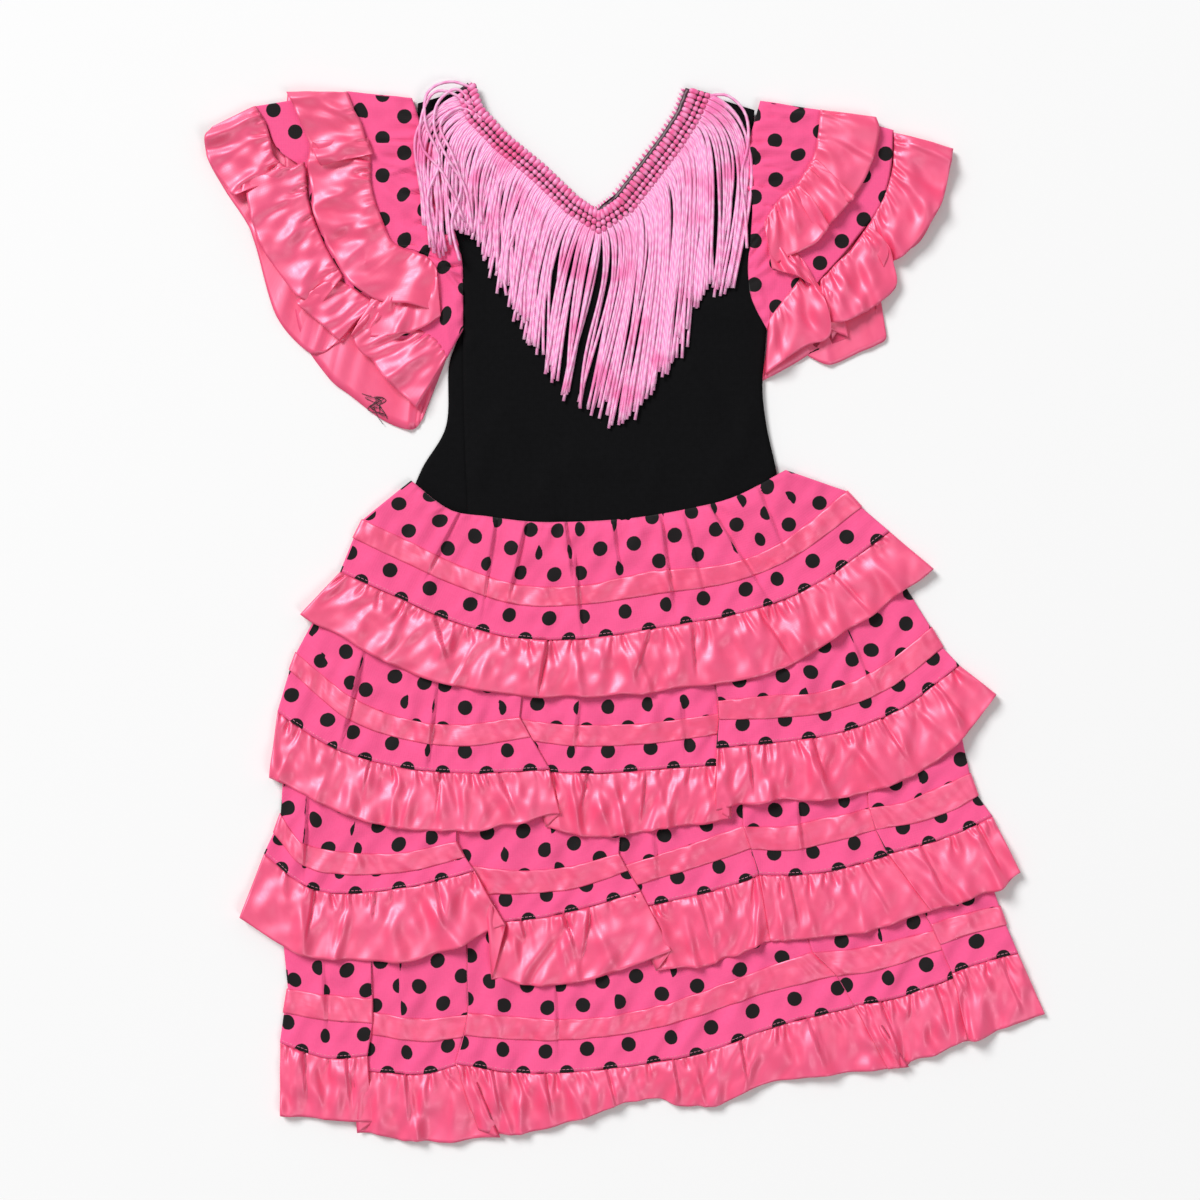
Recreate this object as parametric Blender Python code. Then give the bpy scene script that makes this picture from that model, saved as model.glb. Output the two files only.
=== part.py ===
"""A child's flamenco dress lying flat, front up: bodice, fringe, puff sleeves and four frilled tiers.

Lengths in the tables are millimetres. X runs to the wearer's left, which is the right of a picture taken
from above. Y runs from hem to neck and Z up from the surface that the dress lies on. Every cloth tube is
pressed flat: its back lies low, its front above it, and the two turn into each other at the side folds.
"""

import math

import bmesh
import bpy
import numpy as np

MM = 0.001

# The middle of the whole dress in the tables' own measures, which becomes the origin
MIDDLE = (1.17, 0.35, 0.0)

# Cloth and seams
WALL = 1.0
SEAM = 0.3
SIDE_FOLD = 3.0
SIDE_WALL = 1.2
LAP_HALF_GAP = 0.7
HEM_CLEARANCE = 2.5
HEM_SEARCH_STEPS = 60
FIRST_ROW_SHARE = 0.5
SHARP_ANGLE = 50.0

# Satin ribbon
RIBBON_THICKNESS = 0.9
RIBBON_SIDE_OUT = 1.6
RIBBON_SIDE_IN = 0.5

# How far a frill that goes round a sleeve lies outside the sleeve's folds
FRILL_SIDE_OUT = 1.8
FRILL_SIDE_IN = 0.7

# How finely the flat tubes are divided
TIER_STEPS = 30
FRILL_STEPS_PER_TIER_STEP = 2
BACK_STEPS = 6
SLEEVE_STEPS = 8
FRILL_STEPS_PER_SLEEVE_STEP = 2
SLEEVE_BACK_STEPS = 8

# Frill waves
WAVE_STEPS = 4
WAVE_DRIFT = 0.7
WAVE_DRIFT_PACE = 0.9
CREST_LEAST = 0.6
CREST_PACE = 0.43
TIER_WAVE = 2.8
SLEEVE_WAVE = 2.4
MIDDLE_WAVE_SHARE = 0.45
HEM_SCALLOP = 1.4
TIER_GATHER = 0.4

# Fringe
HEADING_THICKNESS = 1.1
HEADING_STEPS = 3
STRAND_COUNT = 72
STRAND_WIDTH = 1.4
STRAND_ROOT_SHARE = 0.42
STRAND_LEAVES = 5.0
STRAND_BEND_DROP = 18.0
STRAND_BEND_SHARE = 0.7
ARMHOLE_CLEARANCE = 26.0

# Heights of each wall above the surface, from the back's outside to the front's outside.
# row: back outer, back inner, front inner, front outer
FIRST_TIER_LEVELS = (
    (0.0, 1.0, 4.05, 5.05),
    (0.6, 1.6, 3.3, 4.3),
    (1.25, 2.25, 3.2, 4.2),
    (1.25, 2.25, 3.2, 4.2),
    (0.0, 1.0, 4.2, 5.2),
)
LOWER_TIER_LEVELS = (
    (1.35, 2.35, 2.85, 3.85),
    (1.35, 2.35, 2.85, 3.85),
    (1.25, 2.25, 3.2, 4.2),
    (1.25, 2.25, 3.2, 4.2),
    (0.0, 1.0, 4.2, 5.2),
)
FRILL_LEVELS = (
    (0.0, 1.0, 4.2, 5.2),
    (0.0, 1.0, 5.0, 6.0),
    (0.0, 1.0, 5.6, 6.6),
)
LAST_FRILL_LEVELS = (
    (0.0, 1.0, 4.2, 5.2),
    (0.0, 1.0, 3.0, 4.0),
    (0.0, 1.0, 1.8, 2.8),
)
SLEEVE_LEVELS = (
    (0.0, 1.0, 4.1, 5.1),
    (1.35, 2.35, 4.2, 5.2),
    (1.35, 2.35, 4.2, 5.2),
)
INNER_FRILL_LEVELS = (
    (0.0, 1.0, 5.55, 6.55),
    (0.0, 1.0, 5.8, 6.8),
    (0.0, 1.0, 6.0, 7.0),
)
OUTER_FRILL_LEVELS = (
    (1.35, 2.35, 4.2, 5.2),
    (0.7, 1.7, 3.6, 4.6),
    (0.0, 1.0, 2.6, 3.6),
)
BODICE_BACK_LIFT = 1.35
BODICE_FRONT_INSIDE = 2.75
BODICE_SIDE_INSIDE = 2.5
HEADING_LEVEL = 4.1
STRAND_OVER_SLEEVE = 5.5

# The skirt. A table holds the stretches of one tier between laps, from left to right, and a row is one
# section across the tier and its frill:
# top x, y, ribbon top x, y, ribbon bottom x, y, stitching x, y, frill hem x, y, extra cloth of the lap
TIER_1 = (
    (
        (-158, 98, -194, 69, -201, 55, -211, 30, -241, -2, 0.0),
        (-130, 77, -158, 52, -163, 37, -170, 12, -193, -28, 0.2),
        (-102, 72, -122, 35, -125, 20, -129, -6, -146, -51, 0.0),
        (-69, 68, -79, 21, -80, 6, -80, -19, -89, -61, 0.4),
        (-33, 68, -32, 20, -31, 6, -27, -19, -28, -63, 0.0),
        (9, 71, 22, 31, 26, 14, 34, -10, 43, -57, 0.3),
        (50, 78, 76, 36, 82, 23, 96, 2, 113, -43, 0.0),
        (84, 87, 119, 53, 128, 42, 145, 22, 170, -12, 0.2),
        (120, 106, 166, 90, 177, 78, 198, 60, 231, 32, 0.0),
    ),
)
TIER_2 = (
    (
        (-221, 12, -244, -31, -249, -44, -258, -75, -264, -123, 0.0),
        (-186, -8, -205, -62, -209, -78, -217, -101, -218, -146, 0.6),
        (-150, -24, -165, -79, -168, -94, -170, -115, -170, -160, 0.0),
        (-112, -34, -122, -84, -120, -100, -118, -120, -113, -163, 0.4),
        (-74, -38, -78, -78, -70, -93, -56, -117, -48, -150, 1.9),
    ),
    (
        (-73, -38, -77, -80, -69, -96, -55, -119, -47, -163, 0.0),
        (-35, -40, -40, -84, -33, -100, -20, -120, -15, -168, 0.2),
        (15, -36, 15, -83, 20, -98, 25, -117, 25, -163, 0.0),
        (64, -26, 70, -76, 71, -91, 69, -114, 68, -156, 0.0),
    ),
    (
        (65, -26, 71, -66, 72, -80, 70, -101, 69, -147, 1.9),
        (96, -18, 110, -62, 112, -79, 114, -97, 118, -140, 0.4),
        (132, -4, 150, -59, 154, -74, 160, -90, 170, -138, 0.0),
        (168, 14, 192, -41, 198, -57, 207, -72, 232, -112, 0.4),
        (200, 35, 229, -12, 238, -27, 250, -40, 278, -62, 0.0),
    ),
)
TIER_3 = (
    (
        (-252, -100, -256, -152, -261, -166, -268, -181, -286, -228, 0.0),
        (-230, -114, -240, -172, -240, -189, -240, -203, -246, -254, 0.8),
        (-200, -124, -210, -179, -210, -196, -212, -210, -212, -260, 0.0),
        (-164, -134, -168, -180, -163, -194, -160, -205, -150, -258, 0.4),
        (-126, -138, -125, -171, -119, -183, -112, -193, -89, -233, 1.9),
    ),
    (
        (-125, -138, -112, -190, -100, -211, -89, -231, -88, -275, 0.0),
        (-84, -136, -75, -193, -68, -210, -60, -228, -62, -279, 0.3),
        (-40, -138, -40, -190, -34, -206, -26, -220, -20, -272, 0.0),
        (-2, -140, -4, -180, 3, -193, 12, -208, 35, -252, 1.9),
    ),
    (
        (-1, -140, 1, -189, 10, -204, 18, -219, 36, -266, 0.0),
        (30, -136, 30, -180, 36, -196, 42, -214, 60, -264, 0.3),
        (60, -128, 60, -170, 66, -187, 74, -206, 86, -255, 0.0),
        (88, -116, 88, -160, 94, -177, 100, -197, 108, -246, 0.0),
    ),
    (
        (89, -116, 90, -160, 96, -177, 102, -196, 110, -245, 1.3),
        (118, -112, 120, -160, 125, -178, 133, -196, 140, -243, 0.3),
        (148, -108, 150, -154, 155, -172, 165, -191, 180, -239, 0.0),
        (180, -100, 182, -147, 187, -163, 196, -182, 228, -224, 0.0),
    ),
    (
        (181, -100, 184, -146, 189, -162, 198, -180, 230, -223, 1.5),
        (204, -92, 209, -142, 220, -157, 232, -171, 258, -214, 0.4),
        (226, -80, 235, -131, 246, -148, 256, -162, 280, -206, 0.0),
        (246, -66, 258, -121, 264, -138, 275, -153, 296, -195, 0.0),
    ),
)
TIER_4 = (
    (
        (-256, -222, -250, -282, -253, -300, -256, -322, -256, -376, 0.0),
        (-222, -234, -220, -286, -220, -305, -222, -333, -224, -378, 0.5),
        (-190, -240, -188, -289, -188, -307, -192, -331, -188, -382, 1.7),
    ),
    (
        (-189, -240, -187, -299, -187, -316, -190, -343, -187, -391, 0.0),
        (-154, -240, -152, -304, -150, -321, -152, -345, -148, -396, 0.5),
        (-118, -234, -118, -301, -121, -318, -127, -339, -110, -394, 0.0),
    ),
    (
        (-117, -234, -116, -299, -119, -316, -125, -337, -108, -388, 1.7),
        (-78, -236, -72, -303, -75, -320, -80, -344, -72, -389, 0.0),
        (-34, -240, -29, -304, -32, -319, -35, -343, -25, -377, 0.6),
        (10, -234, 15, -297, 14, -313, 12, -338, 14, -364, 0.0),
        (50, -234, 55, -285, 58, -301, 63, -328, 62, -370, 0.7),
        (90, -226, 98, -269, 105, -285, 112, -310, 112, -352, 0.0),
        (130, -220, 140, -254, 158, -272, 171, -295, 196, -341, 0.0),
    ),
    (
        (131, -220, 142, -254, 160, -272, 173, -294, 198, -341, 1.4),
        (170, -214, 176, -251, 192, -267, 208, -287, 220, -335, 0.0),
        (212, -204, 228, -239, 235, -253, 244, -274, 256, -321, 0.0),
    ),
    (
        (213, -204, 230, -233, 237, -248, 246, -269, 258, -320, 1.4),
        (240, -194, 256, -225, 261, -240, 270, -261, 285, -312, 0.3),
        (267, -182, 280, -220, 285, -234, 294, -255, 314, -300, 0.0),
    ),
)
TIERS = (TIER_1, TIER_2, TIER_3, TIER_4)

# The bodice. A row is one section from the shoulder down. The front's inner end is on the neck edge, and
# below the point of the V on the middle line:
# left inner x, y, left outer x, y, sag, right inner x, y, right outer x, y, sag
BODICE_FRONT = (
    (-110, 394, -154, 381, 0, 50, 391, 98, 376, 0),
    (-105, 376, -153, 359, 0, 45, 374, 96, 348, 0),
    (-86, 356, -143, 330, 0, 34, 358, 95, 328, 0),
    (-60, 333, -135, 300, 0, 21, 341, 98, 305, 0),
    (-36, 310, -126, 272, 0, 3, 318, 97, 268, 0),
    (-18, 297, -120, 245, 0, -18, 297, 105, 240, 0),
    (-18, 262, -120, 213, 0, -18, 262, 107, 212, 0),
    (-18, 200, -120, 178, 0, -18, 200, 104, 170, 0),
    (-18, 140, -119, 130, 0, -18, 140, 107, 140, 0),
    (-17, 80, -117, 86, 2, -17, 80, 113, 113, 7),
    (-17, 62, -117, 69, 2, -17, 62, 116, 97, 8),
)
BODICE_BACK = (
    (-114, 394, -154, 380, 0, 46, 391, 98, 375, 0),
    (-109, 376, -153, 359, 0, 41, 374, 96, 348, 0),
    (-90, 356, -143, 330, 0, 30, 358, 95, 328, 0),
    (-64, 333, -135, 300, 0, 17, 341, 98, 305, 0),
    (-40, 310, -126, 272, 0, -1, 318, 97, 268, 0),
    (-22, 297, -122, 245, 0, -22, 297, 105, 240, 0),
    (-20, 262, -124, 208, 0, -20, 262, 107, 212, 0),
    (-18, 200, -131, 184, 0, -18, 200, 104, 170, 0),
    (-18, 140, -133, 140, 0, -18, 140, 107, 140, 0),
    (-17, 80, -142, 108, 8, -17, 80, 113, 113, 7),
    (-17, 62, -145, 84, 5, -17, 62, 116, 97, 8),
)
V_POINT_ROW = 5
UNDERARM_ROW = 6
LAST_ROW = 10
NECK_BAND = 20.0
ARMHOLE_BAND = 8.0

# The fringe heading on the front: neck side x, y, fringe side x, y
HEADING = (
    (-112, 396, -124, 387),
    (-106, 378, -117, 368),
    (-87, 357, -97, 347),
    (-59, 334, -69, 324),
    (-34, 310, -43, 299),
    (-18, 299, -18, 283),
    (-4, 309, 7, 300),
    (14, 332, 25, 323),
    (33, 357, 44, 348),
    (44, 374, 56, 367),
    (51, 392, 65, 388),
)
# Where its strands end: share of the heading from left to right, x, y
STRAND_ENDS = (
    (0.00, -150, 286),
    (0.06, -138, 262),
    (0.12, -126, 284),
    (0.20, -110, 281),
    (0.28, -92, 246),
    (0.36, -76, 212),
    (0.44, -58, 178),
    (0.50, -41, 156),
    (0.55, -24, 148),
    (0.60, -7, 137),
    (0.66, 9, 148),
    (0.72, 24, 172),
    (0.78, 38, 184),
    (0.84, 51, 222),
    (0.90, 64, 240),
    (0.95, 74, 236),
    (1.00, 85, 247),
)
# The same trim on the outside of the back, of which the front shows the looped edge: neck side, fringe side
BACK_HEADING = tuple((a - 4.5, b + 1, c - 4.5, d + 1) for a, b, c, d in HEADING)

# The sleeves: points from the upper fold to the lower fold, x, y
LEFT_MOUTH = ((-158, 388), (-148, 357), (-132, 315), (-128, 288), (-117, 262), (-119, 240), (-128, 222))
LEFT_INNER = ((-206, 388), (-194, 360), (-188, 340), (-189, 325), (-182, 296), (-170, 266), (-158, 237))
LEFT_OUTER = ((-275, 378), (-267, 365), (-258, 346), (-240, 330), (-236, 310), (-226, 282), (-213, 260))
LEFT_INNER_HEM = (
    (-252, 388), (-242, 365), (-229, 338), (-231, 312),
    (-214, 268), (-190, 240), (-150, 216),
)
LEFT_INNER_HEM_BACK = (
    (-252, 388), (-238, 330), (-222, 280), (-208, 220),
    (-180, 144), (-143, 156), (-150, 216),
)
LEFT_OUTER_HEM = (
    (-307, 363), (-305, 345), (-298, 326), (-282, 315),
    (-274, 288), (-259, 257), (-231, 228),
)
LEFT_OUTER_HEM_BACK = (
    (-307, 363), (-311, 340), (-290, 305), (-272, 258),
    (-250, 206), (-226, 184), (-231, 228),
)
RIGHT_MOUTH = ((103, 385), (92, 350), (91, 328), (94, 310), (93, 290), (94, 262), (112, 226))
RIGHT_INNER = ((147, 374), (143, 350), (137, 334), (130, 320), (122, 303), (119, 272), (127, 238))
RIGHT_OUTER = ((202, 360), (201, 340), (198, 320), (191, 301), (177, 281), (161, 263), (147, 249))
RIGHT_INNER_HEM = (
    (190, 370), (183, 338), (174, 312), (162, 296),
    (150, 281), (138, 262), (133, 226),
)
RIGHT_INNER_HEM_BACK = (
    (190, 370), (176, 318), (160, 270), (146, 232),
    (138, 192), (112, 186), (133, 226),
)
RIGHT_OUTER_HEM = (
    (246, 347), (243, 330), (237, 310), (219, 284),
    (205, 258), (186, 228), (152, 217),
)
RIGHT_OUTER_HEM_BACK = (
    (246, 347), (241, 310), (222, 276), (206, 242),
    (194, 202), (158, 188), (152, 217),
)

# Cloth colours, from the photo, as sRGB hex
DOTTED_PINK = "F2558F"
SATIN_PINK = "F4648C"
JERSEY_BLACK = "121214"
FRINGE_PINK = "F07AB4"


def linear(hex_colour):
    """The linear RGBA of an sRGB hex colour."""
    values = [int(hex_colour[i : i + 2], 16) / 255 for i in (0, 2, 4)]
    return [v / 12.92 if v <= 0.04045 else ((v + 0.055) / 1.055) ** 2.4 for v in values] + [1.0]


def cloth(name, colour, roughness):
    material = bpy.data.materials.new(name)
    material.use_nodes = True
    shader = material.node_tree.nodes["Principled BSDF"]
    shader.inputs["Base Color"].default_value = linear(colour)
    shader.inputs["Roughness"].default_value = roughness
    return material


def clear_scene():
    for thing in list(bpy.data.objects):
        bpy.data.objects.remove(thing, do_unlink=True)


def solid(name, points, faces, material):
    """An object from points in millimetres, with its faces turned outward."""
    mesh = bpy.data.meshes.new(name)
    mesh.from_pydata([tuple((v - m) * MM for v, m in zip(point, MIDDLE)) for point in points], [], faces)
    shape = bmesh.new()
    shape.from_mesh(mesh)
    bmesh.ops.recalc_face_normals(shape, faces=shape.faces)
    shape.to_mesh(mesh)
    shape.free()
    mesh.materials.append(material)
    thing = bpy.data.objects.new(name, mesh)
    bpy.context.scene.collection.objects.link(thing)
    mesh.shade_smooth()
    mesh.set_sharp_from_angle(angle=math.radians(SHARP_ANGLE))
    return thing


def section(rows, share):
    """A table's values at a share of its length, on a smooth curve through its rows."""
    table = np.array(rows, float)
    last = len(table) - 1
    place = share * last
    i = min(int(place), last - 1)
    f = place - i
    before, a, b, after = table[max(i - 1, 0)], table[i], table[i + 1], table[min(i + 2, last)]
    bend = (b - before) * f + (2 * before - 5 * a + 4 * b - after) * f**2
    return a + 0.5 * (bend + (3 * a - before - 3 * b + after) * f**3)


def toward(start, goal, distance):
    """The plan point at a distance from start in the direction of goal."""
    way = np.array(goal, float) - start
    return np.array(start, float) + way * distance / np.linalg.norm(way)


def wave(i, height):
    """Uneven frill wave, 0 in a valley and about height on a crest, at column i."""
    phase = 2 * math.pi * (i + WAVE_DRIFT * math.sin(WAVE_DRIFT_PACE * i)) / WAVE_STEPS
    crest = height * (CREST_LEAST + (1 - CREST_LEAST) * abs(math.sin(CREST_PACE * i + CREST_LEAST)))
    return crest * (0.5 - 0.5 * math.cos(phase))


def short_split(points, a, b, c, d):
    """The quad a b c d as two triangles along the diagonal that is shorter from above."""
    across = math.dist(points[a][:2], points[c][:2])
    other = math.dist(points[b][:2], points[d][:2])
    if across <= other:
        return [(a, b, c), (a, c, d)]
    return [(a, b, d), (b, c, d)]


def flat_ring(front, back, side_out=0.0, side_in=SIDE_WALL):
    """One section of a flat tube: its outer loop and its inner loop.

    front and back hold rows of x, y, inner height, outer height from one side fold to the other, with
    the same ends. side_out and side_in say how far the folds lie outside and inside those ends.
    """
    loops = []
    for skin, shift in ((3, -side_out), (2, side_in)):
        heights = [row[skin] for row in front], [row[skin] for row in back]
        loop = []
        for line, levels in ((front, heights[0]), (back[::-1], heights[1][::-1])):
            plan = [np.array(row[:2], float) for row in line]
            fold = toward(plan[0], plan[1], shift) if shift else plan[0]
            middle = (front[0][3] + back[0][3]) / 2
            loop.append((*fold, middle))
            loop.append((*toward(plan[0], plan[1], SIDE_FOLD), levels[0]))
            loop.extend((*point, level) for point, level in zip(plan[1:-1], levels[1:-1]))
            loop.append((*toward(plan[-1], plan[-2], SIDE_FOLD), levels[-1]))
        loops.append(loop)
    return loops


def tube(name, rings, material):
    """A closed wall from rings of flat_ring, which all have the same number of points."""
    around = len(rings[0][0])
    points = []
    for outer, inner in rings:
        points.extend(outer)
        points.extend(inner)
    faces = []
    for i in range(around):
        j = (i + 1) % around
        for r in range(len(rings) - 1):
            a, b = 2 * r * around, 2 * (r + 1) * around
            outer = short_split(points, a + i, b + i, b + j, a + j)
            faces.extend(outer)
            faces.extend([tuple(v + around for v in reversed(face)) for face in outer])
        end = 2 * (len(rings) - 1) * around
        faces.append((i, j, around + j, around + i))
        faces.append((end + j, end + i, end + around + i, end + around + j))
    return solid(name, points, faces, material)


def sheet(name, upper, lower, quads, material):
    """A closed panel: the same quads above and below, and a wall round the border."""
    count = len(upper)
    faces = [face for quad in quads for face in short_split(upper, *quad)]
    borders = {(a, b) for face in faces for a, b in zip(face, face[1:] + face[:1])}
    walls = [(b, a, a + count, b + count) for a, b in borders if (b, a) not in borders]
    below = [tuple(v + count for v in reversed(face)) for face in faces]
    return solid(name, list(upper) + list(lower), faces + below + sorted(walls), material)


def tier_columns(stretches, finer):
    """Sections across a whole tier, from left to right, parted where one stretch laps over the next."""
    widths = [stretch[-1][6] - stretch[0][6] for stretch in stretches]
    columns = []
    for k, (stretch, width) in enumerate(zip(stretches, widths)):
        steps = max(2, round(TIER_STEPS * width / sum(widths)))
        coarse = [section(stretch, i / steps) for i in range(steps + 1)]
        if k > 0:
            coarse[0][0:10:2] += LAP_HALF_GAP
        if k < len(stretches) - 1:
            coarse[-1][0:10:2] -= LAP_HALF_GAP
        for i in range(steps * finer + 1):
            low = i // finer
            high = min(low + 1, steps)
            between = (i % finer) / finer
            column = coarse[low] * (1 - between) + coarse[high] * between
            if between:
                column[8:10] = section(stretch, i / (steps * finer))[8:10]
            columns.append(column)
    return columns


def hem_height(columns, x):
    """How far down the frill's hem reaches at x."""
    hems = sorted((column[8], column[9]) for column in columns)
    near = [y for hem_x, y in hems if abs(hem_x - x) < SIDE_FOLD]
    level = np.interp(x, [hem[0] for hem in hems], [hem[1] for hem in hems])
    return min(near + [level])


def below_frill(column, frill):
    """The point where a tier's section comes out from under the frill above it."""
    top, ribbon = column[0:2], column[2:4]
    for i in range(1, HEM_SEARCH_STEPS):
        point = top + (ribbon - top) * i / HEM_SEARCH_STEPS
        if point[1] < hem_height(frill, point[0]) - HEM_CLEARANCE:
            return point
    return point


def back_line(rows):
    """Evenly chosen sections of a front line, for the plain back."""
    last = len(rows) - 1
    return [rows[round(i * last / BACK_STEPS)] for i in range(BACK_STEPS + 1)]


def tier_rings(columns, levels, frill_above):
    """Rings from a tier's top to its stitching, and the plan and height rows of its front and back."""
    lines = []
    for row, (back_out, back_in, front_in, front_out) in enumerate(levels):
        front = []
        for i, column in enumerate(columns):
            if row == 0:
                point = column[0:2]
            elif row == 1 and frill_above is None:
                point = column[0:2] + (column[2:4] - column[0:2]) * FIRST_ROW_SHARE
            elif row == 1:
                point = below_frill(column, frill_above)
            else:
                point = column[2 * row - 2 : 2 * row]
            lap = column[10] if row > 1 else 0.0
            gather = TIER_GATHER * (i % 2) if row in (2, 3) else 0.0
            front.append((*point, front_in, front_out + lap + gather))
        back = [(row_x, row_y, back_in, back_out) for row_x, row_y, _, _ in back_line(front)]
        lines.append((front, back))
    return lines


def ribbon_rings(lines):
    """Rings of the ribbon, from the tier's own rows moved out."""
    rings = []
    for front, back in lines:
        over = [(x, y, z + SEAM, z + SEAM + RIBBON_THICKNESS) for x, y, _, z in front]
        under = [(x, y, RIBBON_THICKNESS, 0.0) for x, y, _, _ in back]
        rings.append(flat_ring(over, under, RIBBON_SIDE_OUT, -RIBBON_SIDE_IN))
    return rings


def frill_rings(columns, coarse, levels):
    """Rings of a tier's frill, from the stitching to the wavy hem. Its back keeps the tier's sections."""
    starts = [toward(column[6:8], column[8:10], SEAM) for column in columns]
    behind = [(toward(column[6:8], column[8:10], SEAM), column[8:10]) for column in back_line(coarse)]
    shares = (0.0, 0.5, 1.0)
    wave_shares = (0.0, MIDDLE_WAVE_SHARE, 1.0)
    rings = []
    for share, wave_share, level in zip(shares, wave_shares, levels):
        back_out, back_in, front_in, front_out = level
        front = []
        for i, (column, start) in enumerate(zip(columns, starts)):
            rise = wave_share * wave(i, TIER_WAVE)
            lap = column[10]
            point = start + (column[8:10] - start) * share
            point[1] -= rise / TIER_WAVE * HEM_SCALLOP
            inner = front_in + rise + lap * share
            front.append((*point, inner, front_out + rise + lap))
        back = [(*(start + (hem - start) * share), back_in, back_out) for start, hem in behind]
        back[0] = (*front[0][:2], back_in, back_out)
        back[-1] = (*front[-1][:2], back_in, back_out)
        rings.append(flat_ring(front, back))
    return rings


def skirt(dotted, satin):
    frill_above = None
    for k, stretches in enumerate(TIERS, start=1):
        columns = tier_columns(stretches, 1)
        fine = tier_columns(stretches, FRILL_STEPS_PER_TIER_STEP)
        levels = FIRST_TIER_LEVELS if k == 1 else LOWER_TIER_LEVELS
        lines = tier_rings(columns, levels, frill_above)
        tube(f"skirt_tier_{k}", [flat_ring(front, back) for front, back in lines], dotted)
        tube(f"ribbon_{k}", ribbon_rings(lines[2:4]), satin)
        frill_levels = LAST_FRILL_LEVELS if k == len(TIERS) else FRILL_LEVELS
        tube(f"ruffle_{k}", frill_rings(fine, columns, frill_levels), satin)
        frill_above = fine


def panel_grid(table):
    """Points of a bodice panel as key: (x, y), and its quads. Keys are row, side (-1, 0, 1), column."""
    plan = {}
    for row, values in enumerate(table):
        for side, start in ((-1, 0), (1, 5)):
            inner = np.array(values[start : start + 2], float)
            outer = np.array(values[start + 2 : start + 4], float)
            sag = values[start + 4]
            length = np.linalg.norm(outer - inner)
            first, last = NECK_BAND / length, 1 - ARMHOLE_BAND / length
            shares = (0, first, (2 * first + last) / 3, (first + 2 * last) / 3, last, 1)
            for column, share in enumerate(shares):
                middle = column == 0 and row >= V_POINT_ROW
                point = inner + (outer - inner) * share
                point[1] -= 4 * sag * share * (1 - share)
                plan[(row, 0 if middle else side, column)] = point
    keys = list(plan)
    number = {key: i for i, key in enumerate(keys)}

    def at(row, side, column):
        middle = column == 0 and row >= V_POINT_ROW
        return number[(row, 0 if middle else side, column)]

    quads = []
    for row in range(len(table) - 1):
        for column in range(len(shares) - 1):
            for side in (-1, 1):
                corners = ((row, column), (row, column + 1), (row + 1, column + 1), (row + 1, column))
                quad = tuple(at(r, side, c) for r, c in corners)
                quads.append(quad if side < 0 else quad[::-1])
    return plan, keys, quads


def bodice(jersey):
    """The back lies on the surface but for its edges, and the front lies over it."""
    plan, keys, quads = panel_grid(BODICE_BACK)
    upper, lower = [], []
    for key in keys:
        row, _, column = key
        at_neck = row <= V_POINT_ROW + 1 and column <= 1
        at_armhole = row <= UNDERARM_ROW and column >= 4
        lifted = row == 0 or at_neck or at_armhole or row >= LAST_ROW - 1
        bottom = BODICE_BACK_LIFT if lifted else 0.0
        lower.append((*plan[key], bottom))
        upper.append((*plan[key], bottom + WALL))
    sheet("bodice_back", upper, lower, quads, jersey)

    plan, keys, quads = panel_grid(BODICE_FRONT)
    upper, lower = [], []
    for key in keys:
        row, _, column = key
        bottom = BODICE_FRONT_INSIDE
        if UNDERARM_ROW < row < LAST_ROW - 1 and column == 5:
            bottom = BODICE_SIDE_INSIDE
        lower.append((*plan[key], bottom))
        upper.append((*plan[key], bottom + WALL))
    sheet("bodice_front", upper, lower, quads, jersey)


def armhole_x(y):
    """X of the left sleeve's mouth at y."""
    mouth = LEFT_MOUTH[::-1]
    return np.interp(y, [point[1] for point in mouth], [point[0] for point in mouth])


def strand_level(x, y):
    """Underside of a strand: on the bodice, and higher where it crosses onto the left sleeve."""
    return STRAND_OVER_SLEEVE if x < armhole_x(y) + ARMHOLE_CLEARANCE else HEADING_LEVEL


def strand_path(share, root, outward):
    """Plan points of a strand from the heading to its end."""
    shares = [row[0] for row in STRAND_ENDS]
    end_x = np.interp(share, shares, [row[1] for row in STRAND_ENDS])
    end_y = np.interp(share, shares, [row[2] for row in STRAND_ENDS])
    leaving = root + outward * STRAND_LEAVES
    bend_x = leaving[0] + (end_x - leaving[0]) * STRAND_BEND_SHARE
    bend = np.array((bend_x, leaving[1] - STRAND_BEND_DROP))
    return [leaving, bend, np.array((end_x, end_y))]


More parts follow.
